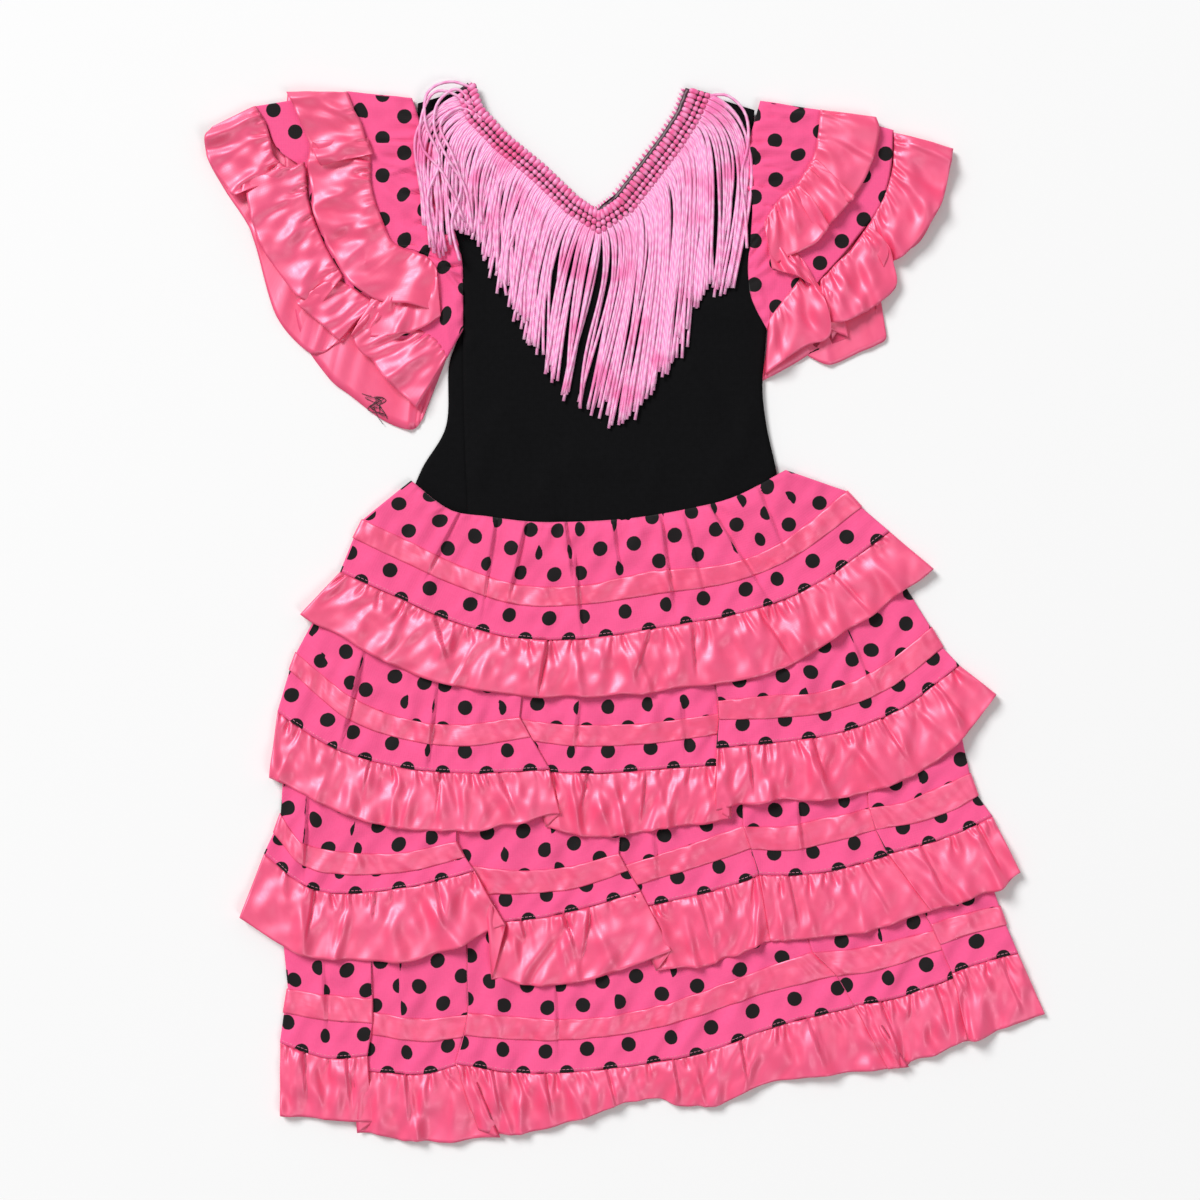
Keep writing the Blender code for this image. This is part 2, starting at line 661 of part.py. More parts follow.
def fringe_front(cord):
    """The heading as a band of pairs of columns, with a strand drawn out of every pair's outer edge."""
    upper, lower, faces = [], [], []
    columns = []
    for s in range(STRAND_COUNT):
        columns.append(s / STRAND_COUNT)
        columns.append((s + STRAND_ROOT_SHARE) / STRAND_COUNT)
    points = []
    for share in columns:
        values = section(HEADING, share)
        for x, y in (values[0:2], values[2:4]):
            points.append((x, y, HEADING_LEVEL))
            points.append((x, y, HEADING_LEVEL + HEADING_THICKNESS))
    last = len(columns) - 1
    for i in range(last):
        a, b = 4 * i, 4 * (i + 1)
        faces.append((a, b, b + 2, a + 2))
        faces.append((a + 1, a + 3, b + 3, b + 1))
        faces.append((a, a + 1, b + 1, b))
        if i % 2:
            faces.append((a + 2, b + 2, b + 3, a + 3))
    faces.append((0, 2, 3, 1))
    end = 4 * last
    faces.append((end, end + 1, end + 3, end + 2))
    for s in range(STRAND_COUNT):
        left = np.array(points[8 * s + 2][:2])
        right = np.array(points[8 * s + 6][:2])
        root = (left + right) / 2
        along = (right - left) / np.linalg.norm(right - left)
        outward = np.array((along[1], -along[0]))
        share = (s + STRAND_ROOT_SHARE / 2) / STRAND_COUNT
        ring = [8 * s + 2, 8 * s + 6, 8 * s + 7, 8 * s + 3]
        previous = root
        path = strand_path(share, root, outward)
        for k, place in enumerate(path):
            ahead = path[min(k + 1, len(path) - 1)] - previous
            ahead = ahead / np.linalg.norm(ahead)
            side = np.array((-ahead[1], ahead[0])) * STRAND_WIDTH / 2
            level = strand_level(*place)
            first = len(points)
            for x, y, z in (
                (*(place - side), level),
                (*(place + side), level),
                (*(place + side), level + HEADING_THICKNESS),
                (*(place - side), level + HEADING_THICKNESS),
            ):
                points.append((x, y, z))
            new = [first, first + 1, first + 2, first + 3]
            for c in range(4):
                d = (c + 1) % 4
                faces.append((ring[c], ring[d], new[d], new[c]))
            ring = new
            previous = place
        faces.append(tuple(ring))
    return solid("fringe_front", points, faces, cord)


def fringe_back(cord):
    """The plain band of the back's heading, under the back's neck edge."""
    steps = HEADING_STEPS * (len(BACK_HEADING) - 1)
    upper, lower = [], []
    for i in range(steps + 1):
        values = section(BACK_HEADING, i / steps)
        for x, y in (values[0:2], values[2:4]):
            lower.append((x, y, 0.0))
            upper.append((x, y, WALL))
    quads = [(2 * i, 2 * i + 1, 2 * i + 3, 2 * i + 2) for i in range(steps)]
    return sheet("fringe_back", upper, lower, quads, cord)


def sleeve_rings(line, level):
    """One section of a plain sleeve, the same line in front and behind."""
    back_out, back_in, front_in, front_out = level
    front = [(*section(line, i / SLEEVE_STEPS), front_in, front_out) for i in range(SLEEVE_STEPS + 1)]
    back_shares = [i / SLEEVE_BACK_STEPS for i in range(SLEEVE_BACK_STEPS + 1)]
    back = [(*section(line, share), back_in, back_out) for share in back_shares]
    return flat_ring(front, back)


def sleeve_frill(name, top, hem, hem_back, levels, folds, satin):
    """A frill round a sleeve, with waves on its front. folds says how far it lies outside the sleeve."""
    steps = SLEEVE_STEPS * FRILL_STEPS_PER_SLEEVE_STEP
    coarse = [section(top, i / SLEEVE_STEPS) for i in range(SLEEVE_STEPS + 1)]
    front_lines = []
    for i in range(steps + 1):
        low = i // FRILL_STEPS_PER_SLEEVE_STEP
        high = min(low + 1, SLEEVE_STEPS)
        part = (i % FRILL_STEPS_PER_SLEEVE_STEP) / FRILL_STEPS_PER_SLEEVE_STEP
        start = coarse[low] * (1 - part) + coarse[high] * part
        end = section(hem, i / steps)
        front_lines.append((toward(start, end, SEAM), end))
    back_lines = []
    for i in range(SLEEVE_BACK_STEPS + 1):
        start, end = section(top, i / SLEEVE_BACK_STEPS), section(hem_back, i / SLEEVE_BACK_STEPS)
        back_lines.append((toward(start, end, SEAM), end))
    rings = []
    for share, wave_share, level in zip((0.0, 0.5, 1.0), (0.0, MIDDLE_WAVE_SHARE, 1.0), levels):
        back_out, back_in, front_in, front_out = level
        front = []
        for i, (start, end) in enumerate(front_lines):
            rise = wave_share * wave(i, SLEEVE_WAVE)
            front.append((*(start + (end - start) * share), front_in + rise, front_out + rise))
        back = [(*(start + (end - start) * share), back_in, back_out) for start, end in back_lines]
        rings.append(flat_ring(front, back, *folds))
    tube(name, rings, satin)


def sleeve(side, mouth, inner, outer, inner_hems, outer_hems, dotted, satin):
    rings = [sleeve_rings(line, level) for line, level in zip((mouth, inner, outer), SLEEVE_LEVELS)]
    tube(f"sleeve_{side}", rings, dotted)
    around = (FRILL_SIDE_OUT, -FRILL_SIDE_IN)
    sleeve_frill(f"sleeve_{side}_ruffle_inner", inner, *inner_hems, INNER_FRILL_LEVELS, around, satin)
    level_with = (0.0, SIDE_WALL)
    sleeve_frill(f"sleeve_{side}_ruffle_outer", outer, *outer_hems, OUTER_FRILL_LEVELS, level_with, satin)


def build():
    clear_scene()
    dotted = cloth("polka dot cloth", DOTTED_PINK, 0.8)
    satin = cloth("satin", SATIN_PINK, 0.35)
    jersey = cloth("black jersey", JERSEY_BLACK, 0.9)
    cord = cloth("twisted fringe", FRINGE_PINK, 0.5)
    bodice(jersey)
    fringe_front(cord)
    fringe_back(cord)
    skirt(dotted, satin)
    left_inner = (LEFT_INNER_HEM, LEFT_INNER_HEM_BACK)
    left_outer = (LEFT_OUTER_HEM, LEFT_OUTER_HEM_BACK)
    sleeve("left", LEFT_MOUTH, LEFT_INNER, LEFT_OUTER, left_inner, left_outer, dotted, satin)
    right_inner = (RIGHT_INNER_HEM, RIGHT_INNER_HEM_BACK)
    right_outer = (RIGHT_OUTER_HEM, RIGHT_OUTER_HEM_BACK)
    sleeve("right", RIGHT_MOUTH, RIGHT_INNER, RIGHT_OUTER, right_inner, right_outer, dotted, satin)


build()
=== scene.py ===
"""A child's flamenco dress laid flat, front up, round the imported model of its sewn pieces.

Tables are in millimetres as the pattern cutter's plan: X to the right of the picture, Y from hem to neck,
Z up from the surface. Every sewn tube is one grid of cloth that runs along its front from left to right,
turns at the side fold and comes back along its plain back.
"""

import math

import bmesh
import bpy
import numpy as np
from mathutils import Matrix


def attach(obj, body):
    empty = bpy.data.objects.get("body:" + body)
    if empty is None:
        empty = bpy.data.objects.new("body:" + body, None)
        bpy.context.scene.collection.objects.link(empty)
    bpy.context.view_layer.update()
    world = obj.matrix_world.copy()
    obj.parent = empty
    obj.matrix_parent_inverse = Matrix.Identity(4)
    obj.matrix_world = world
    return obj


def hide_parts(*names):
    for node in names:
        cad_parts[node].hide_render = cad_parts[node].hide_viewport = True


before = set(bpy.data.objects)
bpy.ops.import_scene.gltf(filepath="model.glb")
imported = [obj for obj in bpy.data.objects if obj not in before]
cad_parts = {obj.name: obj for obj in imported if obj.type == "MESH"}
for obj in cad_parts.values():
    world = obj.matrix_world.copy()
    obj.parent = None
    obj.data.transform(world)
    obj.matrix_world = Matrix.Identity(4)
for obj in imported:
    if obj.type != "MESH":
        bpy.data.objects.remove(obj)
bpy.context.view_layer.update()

# Metres in a millimetre, and the middle of the plan, which is the dress's origin
MM = 0.001
MIDDLE = (1.17, 0.35, 0.0)

# Real thickness of each material, in millimetres
COTTON_WALL = 0.40
SATIN_WALL = 0.32
RIBBON_WALL = 0.30
JERSEY_WALL = 0.55

# Grid spacing of the cloth, in millimetres
TIER_ACROSS = 1.5
TIER_DOWN = 2.4
FRILL_ACROSS = 1.05
FRILL_DOWN = 2.0
BACK_ACROSS = 7.0
SLEEVE_ACROSS = 1.8
JERSEY_STEP = 4.0

# How many swells make up the unevenness of slack satin
SWELLS = 12

# Creases: a strong one is steep on one side and undercut there. CREASE_HEIGHT multiplies the heights in
# the tables
STEEP_FLANK = 0.9
UNDERCUT = 0.35
UNDERCUT_PLACE = 1.7
UNDERCUT_WIDTH = 1.0
STRONG_CREASE = 1.15
CREASE_HEIGHT = 2.0

# Cloth is drawn into a crease within this band, which is broader where the crease dies away, or where the
# cloth is eased in. A stretch's measures begin this far after the last one's
CUT_BAND = 0.8
FADED_BAND = 9.0
EASED_BAND = 6.0
STRETCH_APART = 9.0
BACK_EASE = 50.0

# Gathers: how far apart, long and tall they are, as shares of the usual, how wide, and how far they slant
GATHER_APART = (0.45, 1.7)
GATHER_LONG = (0.8, 1.3)
GATHER_TALL = (0.35, 1.0)
GATHER_WIDE = (1.0, 2.3)
GATHER_SLANT = 0.28
GATHER_SPREAD = 2.4
# Usual distance, height and length of the gathers of each edge
WAIST_GATHERS = (7.5, 1.6, 26.0)
TIER_GATHERS = (34.0, 0.6, 90.0)
SLEEVE_GATHERS = (8.0, 4.2, 46.0)
FRILL_GATHERS = (9.0, 1.3)
FRILL_BACK_GATHERS = (11.0, 1.3)
# Short, middling and long gathers: chance of each or a shorter one, share of the depth, share of the height
GATHER_KINDS = ((0.40, 0.25, 1.0), (0.75, 0.55, 1.0), (1.00, 1.15, 1.25))

# Swells of slack cloth: shortest, longest, how far they are drawn out down the cloth, and steepness
TIER_SWELLS = (14.0, 40.0, 3.0, 0.010)
RIBBON_SWELLS = (7.0, 24.0, 3.0, 0.012)
FRILL_SWELLS = (11.0, 38.0, 2.6, 0.0165)
SLEEVE_SWELLS = (10.0, 28.0, 2.0, 0.013)
# The spread of their directions, and the slow bend that keeps them from lining up
SWELL_TURN = 0.5
SWELL_BEND = 1.6
BEND_DOWN = 47.0
BEND_ACROSS = 83.0

# Puckers under a frill's stitching, in clusters. Strong and slight ones have a depth, a reach and a growth
# in width along it
PUCKER_APART = (3.2, 7.5)
CLUSTER_APART = (9.0, 19.0)
STRONG_PUCKER = ((1.5, 2.3), (13.0, 24.0), 1.5)
SLIGHT_PUCKER = ((0.6, 1.3), (5.0, 12.0), 0.9)
PUCKER_LEAN = 0.35
PUCKER_BEND = 0.010
PUCKER_WIDTH = 0.75

# Broad folds at a frill's hem: how far apart and how high
FOLD_APART = (7.0, 20.0)
FOLD_HIGH = (0.9, 3.5)
FOLD_LEAN = 0.3

# A lapped fold: how far its hidden cloth runs back under the edge, how round it turns, and how high the
# turn, the cloth between and the hidden cloth lie, the first two as shares of the fold's lift
TUCK_BACK = 12.0
TUCK_STEPS = 5
FOLD_ROUND = 0.7
FOLD_TURN = 0.6
UNDER_FOLD = 0.15
FOLD_END = -0.2
HIDDEN_LOW = -0.6
# A hollow in a tier or a frill is held up from this depth on, and then gives only this much
TIER_PROP = -0.8
FRILL_PROP = -1.6
PROP_GIVE = 0.3

# Room under a plain back for its own wall
UNDERSIDE = 0.35

# The turn at each side fold: its columns, the cloth in each, and how far it bulges out
TURN_COLUMNS = 3
TURN_STEP = 0.7
TURN_END = 3.0
TIER_BULGE = 1.4
RIBBON_BULGE = 2.4
FRILL_BULGE = 1.3
SLEEVE_BULGE = 1.2

# Heights of the cloth's outside above the surface
WAIST_TOP = 4.3
TIER_TOP = 3.3
RIBBON_BED = 3.6
TIER_EDGE = 5.2
FRILL_START = 4.5
FRILL_MIDDLE = 6.3
FRILL_HEM = 6.7
LAST_FRILL_HEM = 3.2
LAST_FRILL_SAG = 1.1
TIER_BELLY = 4.5
BACK_BED = 1.35
BACK_HEM = 0.15
FRONT_OF_BODICE = 3.75
SLEEVE_LEVELS = (4.6, 5.4, 5.2, 4.6)
SLEEVE_BACK = 0.2
# Levels of a sleeve's inner and outer frill: start, middle, hem, and the bed of its back on the other's back
SLEEVE_FRILL_LEVELS = ((6.6, 7.6, 7.8, 0.0), (5.9, 6.4, 6.0, 0.6))
# A sleeve's folds are pressed down from this height on, and then rise only this much of the rest
SLEEVE_LIMIT = {"left": (2.2, 0.35), "right": (1.2, 0.25)}

# The ribbon's middle above the cotton, and how far its edges are drawn down to it
RIBBON_PROUD = 0.42
RIBBON_EDGE = 0.14
# Depths of the fine furrows that wander along a ribbon
RIBBON_FURROWS = (0.16, 0.12, 0.10)
RIBBON_HALF = 8.0

# Each tier is one or more stretches, which lap where the cloth is folded. A row is a line down the tier:
# x and y at its top, the ribbon's upper and lower edge, the tier's lower edge and the frill's hem, then lift
TIER_1 = (
    (
        (-158, 98, -194, 69, -201, 55, -211, 30, -241, -2, 0.0),
        (-130, 77, -158, 52, -163, 37, -170, 12, -193, -28, 0.2),
        (-102, 72, -122, 35, -125, 20, -129, -6, -146, -51, 0.0),
        (-69, 68, -79, 21, -80, 6, -80, -19, -89, -61, 0.4),
        (-33, 68, -32, 20, -31, 6, -27, -19, -28, -63, 0.0),
        (9, 71, 22, 31, 26, 14, 34, -10, 43, -57, 0.3),
        (50, 78, 76, 36, 82, 23, 96, 2, 113, -43, 0.0),
        (84, 87, 119, 53, 128, 42, 145, 22, 170, -12, 0.2),
        (120, 106, 166, 90, 177, 78, 198, 60, 231, 32, 0.0),
    ),
)
TIER_2 = (
    (
        (-221, 12, -244, -31, -249, -44, -258, -75, -264, -123, 0.0),
        (-186, -8, -205, -62, -209, -78, -217, -101, -218, -146, 0.6),
        (-150, -24, -165, -79, -168, -94, -170, -115, -170, -160, 0.0),
        (-112, -34, -122, -84, -120, -100, -118, -120, -113, -163, 0.4),
        (-74, -38, -78, -78, -70, -93, -56, -117, -48, -150, 1.9),
    ),
    (
        (-73, -38, -77, -80, -69, -96, -55, -119, -47, -163, 0.0),
        (-35, -40, -40, -84, -33, -100, -20, -120, -15, -168, 0.2),
        (15, -36, 15, -83, 20, -98, 25, -117, 25, -163, 0.0),
        (64, -26, 70, -76, 71, -91, 69, -114, 68, -156, 0.0),
    ),
    (
        (65, -26, 71, -66, 72, -80, 70, -101, 69, -147, 1.9),
        (96, -18, 110, -62, 112, -79, 114, -97, 118, -140, 0.4),
        (132, -4, 150, -59, 154, -74, 160, -90, 170, -138, 0.0),
        (168, 14, 192, -41, 198, -57, 207, -72, 232, -112, 0.4),
        (200, 35, 229, -12, 238, -27, 250, -40, 278, -62, 0.0),
    ),
)
TIER_3 = (
    (
        (-252, -100, -256, -152, -261, -166, -268, -181, -286, -228, 0.0),
        (-230, -114, -240, -172, -240, -189, -240, -203, -246, -254, 0.8),
        (-200, -124, -210, -179, -210, -196, -212, -210, -212, -260, 0.0),
        (-164, -134, -168, -180, -163, -194, -160, -205, -150, -258, 0.4),
        (-126, -138, -125, -171, -119, -183, -112, -193, -89, -233, 1.9),
    ),
    (
        (-125, -138, -112, -190, -100, -211, -89, -231, -88, -275, 0.0),
        (-84, -136, -75, -193, -68, -210, -60, -228, -62, -279, 0.3),
        (-40, -138, -40, -190, -34, -206, -26, -220, -20, -272, 0.0),
        (-2, -140, -4, -180, 3, -193, 12, -208, 35, -252, 1.9),
    ),
    (
        (-1, -140, 1, -189, 10, -204, 18, -219, 36, -266, 0.0),
        (30, -136, 30, -180, 36, -196, 42, -214, 60, -264, 0.3),
        (60, -128, 60, -170, 66, -187, 74, -206, 86, -255, 0.0),
        (88, -116, 88, -160, 94, -177, 100, -197, 108, -246, 0.0),
    ),
    (
        (89, -116, 90, -160, 96, -177, 102, -196, 110, -245, 1.3),
        (118, -112, 120, -160, 125, -178, 133, -196, 140, -243, 0.3),
        (148, -108, 150, -154, 155, -172, 165, -191, 180, -239, 0.0),
        (180, -100, 182, -147, 187, -163, 196, -182, 228, -224, 0.0),
    ),
    (
        (181, -100, 184, -146, 189, -162, 198, -180, 230, -223, 1.5),
        (204, -92, 209, -142, 220, -157, 232, -171, 258, -214, 0.4),
        (226, -80, 235, -131, 246, -148, 256, -162, 280, -206, 0.0),
        (246, -66, 258, -121, 264, -138, 275, -153, 296, -195, 0.0),
    ),
)
TIER_4 = (
    (
        (-256, -222, -250, -282, -253, -300, -256, -322, -256, -376, 0.0),
        (-222, -234, -220, -286, -220, -305, -222, -333, -224, -378, 0.5),
        (-190, -240, -188, -289, -188, -307, -192, -331, -188, -382, 1.7),
    ),
    (
        (-189, -240, -187, -299, -187, -316, -190, -343, -187, -391, 0.0),
        (-154, -240, -152, -304, -150, -321, -152, -345, -148, -396, 0.5),
        (-118, -234, -118, -301, -121, -318, -127, -339, -110, -394, 0.0),
    ),
    (
        (-117, -234, -116, -299, -119, -316, -125, -337, -108, -388, 1.7),
        (-78, -236, -72, -303, -75, -320, -80, -344, -72, -389, 0.0),
        (-34, -240, -29, -304, -32, -319, -35, -343, -25, -377, 0.6),
        (10, -234, 15, -297, 14, -313, 12, -338, 14, -364, 0.0),
        (50, -234, 55, -285, 58, -301, 63, -328, 62, -370, 0.7),
        (90, -226, 98, -269, 105, -285, 112, -310, 112, -352, 0.0),
        (130, -220, 140, -254, 158, -272, 171, -295, 196, -341, 0.0),
    ),
    (
        (131, -220, 142, -254, 160, -272, 173, -294, 198, -341, 1.4),
        (170, -214, 176, -251, 192, -267, 208, -287, 220, -335, 0.0),
        (212, -204, 228, -239, 235, -253, 244, -274, 256, -321, 0.0),
    ),
    (
        (213, -204, 230, -233, 237, -248, 246, -269, 258, -320, 1.4),
        (240, -194, 256, -225, 261, -240, 270, -261, 285, -312, 0.3),
        (267, -182, 280, -220, 285, -234, 294, -255, 314, -300, 0.0),
    ),
)
TIERS = (TIER_1, TIER_2, TIER_3, TIER_4)

# Creases pressed or gathered into the dotted tiers: from x, y to x, y, height, width, cloth hidden in it
TIER_CREASES = (
    (
        (-123, 76, -152, 20, 1.2, 8, 0),
        (-96, 68, -108, -8, 1.3, 8, 0),
        (-74, 66, -88, 4, 1.7, 9, 0),
        (-44, 69, -38, 18, 1.6, 9, 0),
        (-37, 40, -31, -24, 1.8, 9, 5),
        (-8, 66, -2, 20, 1.4, 8, 0),
        (28, 67, 38, -6, 1.9, 9, 5),
        (46, 68, 62, 4, 1.3, 8, 0),
        (66, 76, 112, 2, 2.0, 10, 5),
        (100, 93, 122, 40, 1.3, 8, 0),
        (112, 100, 160, 40, 1.0, 8, 0),
        (-60, 66, -66, 40, 0.9, 6, 0),
        (10, 68, 16, 42, 0.9, 6, 0),
        (84, 86, 102, 56, 0.9, 6, 0),
    ),
    (
        (-232, -18, -206, -62, 1.0, 8, 0),
        (-192, -18, -214, -108, 2.2, 11, 8),
        (-160, -44, -162, -80, 1.0, 7, 0),
        (-139, -46, -149, -128, 1.5, 9, 6),
        (-96, -50, -90, -86, 0.9, 7, 0),
        (-32, -58, -39, -112, 1.5, 8, 6),
        (-8, -62, -6, -86, 0.9, 7, 0),
        (20, -66, 18, -92, 0.9, 7, 0),
        (43, -66, 46, -112, 1.2, 7, 4),
        (96, -30, 106, -96, 1.0, 8, 0),
        (126, -24, 146, -84, 1.0, 8, 0),
        (164, -4, 190, -66, 1.2, 8, 0),
    ),
    (
        (-236, -120, -240, -200, 1.6, 9, 5),
        (-196, -130, -204, -180, 1.0, 8, 0),
        (-152, -140, -146, -192, 1.1, 8, 0),
        (-96, -150, -80, -214, 1.0, 8, 0),
        (-56, -150, -52, -198, 1.0, 7, 0),
        (20, -150, 26, -206, 1.2, 8, 0),
        (64, -140, 72, -190, 1.0, 8, 0),
        (128, -126, 134, -186, 1.2, 8, 0),
        (160, -120, 172, -180, 1.0, 7, 0),
        (214, -106, 232, -160, 1.0, 8, 0),
    ),
    (
        (-226, -244, -222, -322, 1.2, 9, 0),
        (-168, -250, -166, -330, 1.0, 8, 0),
        (-96, -246, -94, -330, 1.0, 8, 0),
        (-52, -246, -50, -336, 1.2, 9, 0),
        (-8, -246, -6, -326, 1.0, 8, 0),
        (34, -246, 40, -320, 1.1, 8, 0),
        (76, -240, 88, -306, 1.0, 8, 0),
        (118, -236, 140, -290, 1.0, 7, 0),
        (186, -222, 204, -280, 1.0, 8, 0),
        (246, -206, 262, -252, 1.0, 7, 0),
    ),
)

# Rows down the bodice: neck x and y, outer edge x and y and the row's sag, on the left and then on the right
BODICE_FRONT = (
    (-110, 394, -154, 381, 0, 50, 391, 98, 376, 0),
    (-105, 376, -153, 359, 0, 45, 374, 96, 348, 0),
    (-86, 356, -143, 330, 0, 34, 358, 95, 328, 0),
    (-60, 333, -135, 300, 0, 21, 341, 98, 305, 0),
    (-36, 310, -126, 272, 0, 3, 318, 97, 268, 0),
    (-18, 297, -120, 245, 0, -18, 297, 105, 240, 0),
    (-18, 262, -120, 213, 0, -18, 262, 107, 212, 0),
    (-18, 200, -120, 178, 0, -18, 200, 104, 170, 0),
    (-18, 140, -119, 130, 0, -18, 140, 107, 140, 0),
    (-17, 80, -117, 86, 2, -17, 80, 113, 113, 7),
    (-17, 62, -117, 69, 2, -17, 62, 116, 97, 8),
)
BODICE_BACK = (
    (-114, 394, -154, 380, 0, 46, 391, 98, 375, 0),
    (-109, 376, -153, 359, 0, 41, 374, 96, 348, 0),
    (-90, 356, -143, 330, 0, 30, 358, 95, 328, 0),
    (-64, 333, -135, 300, 0, 17, 341, 98, 305, 0),
    (-40, 310, -126, 272, 0, -1, 318, 97, 268, 0),
    (-22, 297, -122, 245, 0, -22, 297, 105, 240, 0),
    (-20, 262, -124, 208, 0, -20, 262, 107, 212, 0),
    (-18, 200, -131, 184, 0, -18, 200, 104, 170, 0),
    (-18, 140, -133, 140, 0, -18, 140, 107, 140, 0),
    (-17, 80, -151, 108, 8, -17, 80, 113, 113, 7),
    (-17, 60, -164, 76, 5, -17, 60, 116, 97, 8),
)
# The row where the two halves meet at the point of the V
V_POINT_ROW = 5
HALF_PANEL_COLUMNS = 34
# Soft creases of the jersey front
JERSEY_CREASES = (
    (-119, 202, -108, 201, 0.8, 4, 0),
    (46, 186, 80, 136, 1.1, 7, 0),
    (-96, 150, -70, 118, 0.8, 9, 0),
    (-40, 120, 30, 104, 0.9, 12, 0),
    (60, 232, 98, 214, 1.0, 8, 0),
    (-112, 96, -96, 150, 0.7, 8, 0),
    (86, 116, 100, 168, 0.8, 8, 0),
    (-60, 84, -52, 116, 0.7, 8, 0),
    (20, 84, 24, 120, 0.7, 8, 0),
    (70, 92, 78, 128, 0.7, 8, 0),
)

# The fringe's heading down one side of the V and up the other: neck edge x and y, fringe edge x and y
HEADING = (
    (-112, 396, -124, 387),
    (-106, 378, -117, 368),
    (-87, 357, -97, 347),
    (-59, 334, -69, 324),
    (-34, 310, -43, 299),
    (-18, 299, -18, 283),
    (-4, 309, 7, 300),
    (14, 332, 25, 323),
    (33, 357, 44, 348),
    (44, 374, 56, 367),
    (51, 392, 65, 388),
)
# Where the strands end: share of the way along the heading, x and y
STRAND_ENDS = (
    (0.00, -150, 286),
    (0.06, -138, 262),
    (0.12, -126, 284),
    (0.20, -110, 281),
    (0.28, -92, 246),
    (0.36, -76, 212),
    (0.44, -58, 178),
    (0.50, -41, 156),
    (0.55, -24, 148),
    (0.60, -7, 137),
    (0.66, 9, 148),
    (0.72, 24, 172),
    (0.78, 38, 184),
    (0.84, 51, 222),
    (0.90, 64, 240),
    (0.95, 74, 236),
    (1.00, 85, 247),
)
# The back's heading lies a little to the left and above, so its edge shows
BACK_HEADING = tuple((a - 4.5, b + 1, c - 4.5, d + 1) for a, b, c, d in HEADING)
STRANDS = 248
STRAND_RADIUS = 1.14
STRAND_POINTS = 24
# Strands hang in bunches, and each is drawn this much of the way to its own bunch
BUNCHES = 38
BUNCH_PULL = 0.20
# Height of the strands' middle on the bodice, and what is added over a sleeve
STRAND_LEVEL = 5.1
OVER_SLEEVE = 4.6
# Heading: its depth, its points, its levels and wall, the pitch of its bars, where each row of bars lies
# across it from the neck's edge, and a bar's radius and height along it
HEADING_DEPTH = 14.0
HEADING_POINTS = 151
HEADING_LEVEL = 4.7
BACK_HEADING_LEVEL = 1.95
HEADING_WALL = 0.5
TAPE_POINTS = 7
LOOP_PITCH = 4.0
LOOP_ROWS = ((-0.07, 0.40), (0.46, 0.70), (0.76, 1.02))
BACK_LOOP_ROWS = ((-0.20, 0.34), (0.46, 0.70), (0.76, 1.02))
LOOP_RADIUS = (1.35, 1.95, 2.02, 1.95, 1.35)
LOOP_ARCH = (0.0, 0.35, 0.42, 0.35, 0.0)
LOOP_LEVEL = 0.85
STRANDS_A_LOOP = 1.05
# A cord's girth on its UV map, and how far along it the twist of the next cord begins
CORD_ROUND = 2.0
TWIST_APART = 3.7
# Sewing thread at a frill: how far above the tier's edge, its radius, its step, and its dips and rises
SEAM_INSET = 2.1
SEAM_RADIUS = 0.2
SEAM_STEP = 0.75
STITCH_STEPS = 4
STITCH_DIP = -0.7
STITCH_RISE = 0.12
# Loose thread: its middle, how high it lies, its radius, and its ends from x, y to x, y
THREAD_MIDDLE = (-185, 158)
THREAD_BED = 1.0
THREAD_RADIUS = 0.28
THREAD_ENDS = ((-187, 154, -180, 141), (-183, 155, -177, 145), (-189, 162, -196, 164))
# Strands that have strayed: over the left shoulder, across the others and off the right side
STRAYS = (
    (
        (-113, 392), (-127, 396.5), (-141, 393), (-148, 383),
        (-147, 362), (-137, 336), (-146, 309), (-141, 272),
    ),
    ((-110, 374), (-128, 388), (-143, 387), (-151, 366), (-150, 346), (-134, 326), (-119, 292)),
    ((-112, 380), (-125, 391), (-139, 380), (-141, 360), (-131, 338), (-118, 316), (-113, 284)),
    ((-104, 368), (-122, 377), (-137, 364), (-128, 342), (-121, 318), (-128, 290), (-122, 262)),
    ((62, 386), (78, 386), (91, 372), (93, 350), (88, 326), (91, 296), (92, 272)),
)

# Sleeves: points from the upper fold to the lower fold, x, y
LEFT_MOUTH = (
    (-158, 384), (-148, 357), (-135, 336), (-132, 309), (-127, 288), (-121, 265), (-120, 242), (-120, 213),
)
LEFT_INNER = (
    (-206, 389), (-194, 360), (-189, 339), (-189, 324), (-181, 296), (-170, 275), (-149, 267), (-132, 192),
)
LEFT_OUTER = (
    (-275, 378), (-267, 365), (-258, 346), (-238, 330), (-235, 310), (-226, 281), (-211, 252), (-184, 206),
)
RIGHT_MOUTH = (
    (102, 382), (93, 348), (91, 324), (96, 306), (95, 281), (93, 257), (96, 234), (107, 212),
)
RIGHT_INNER = (
    (147, 375), (143, 351), (137, 335), (131, 321), (122, 306), (120, 279), (117, 242), (109, 218),
)
RIGHT_OUTER = ((202, 360), (201, 340), (198, 320), (191, 301), (180, 287), (161, 264), (147, 249), (136, 232))

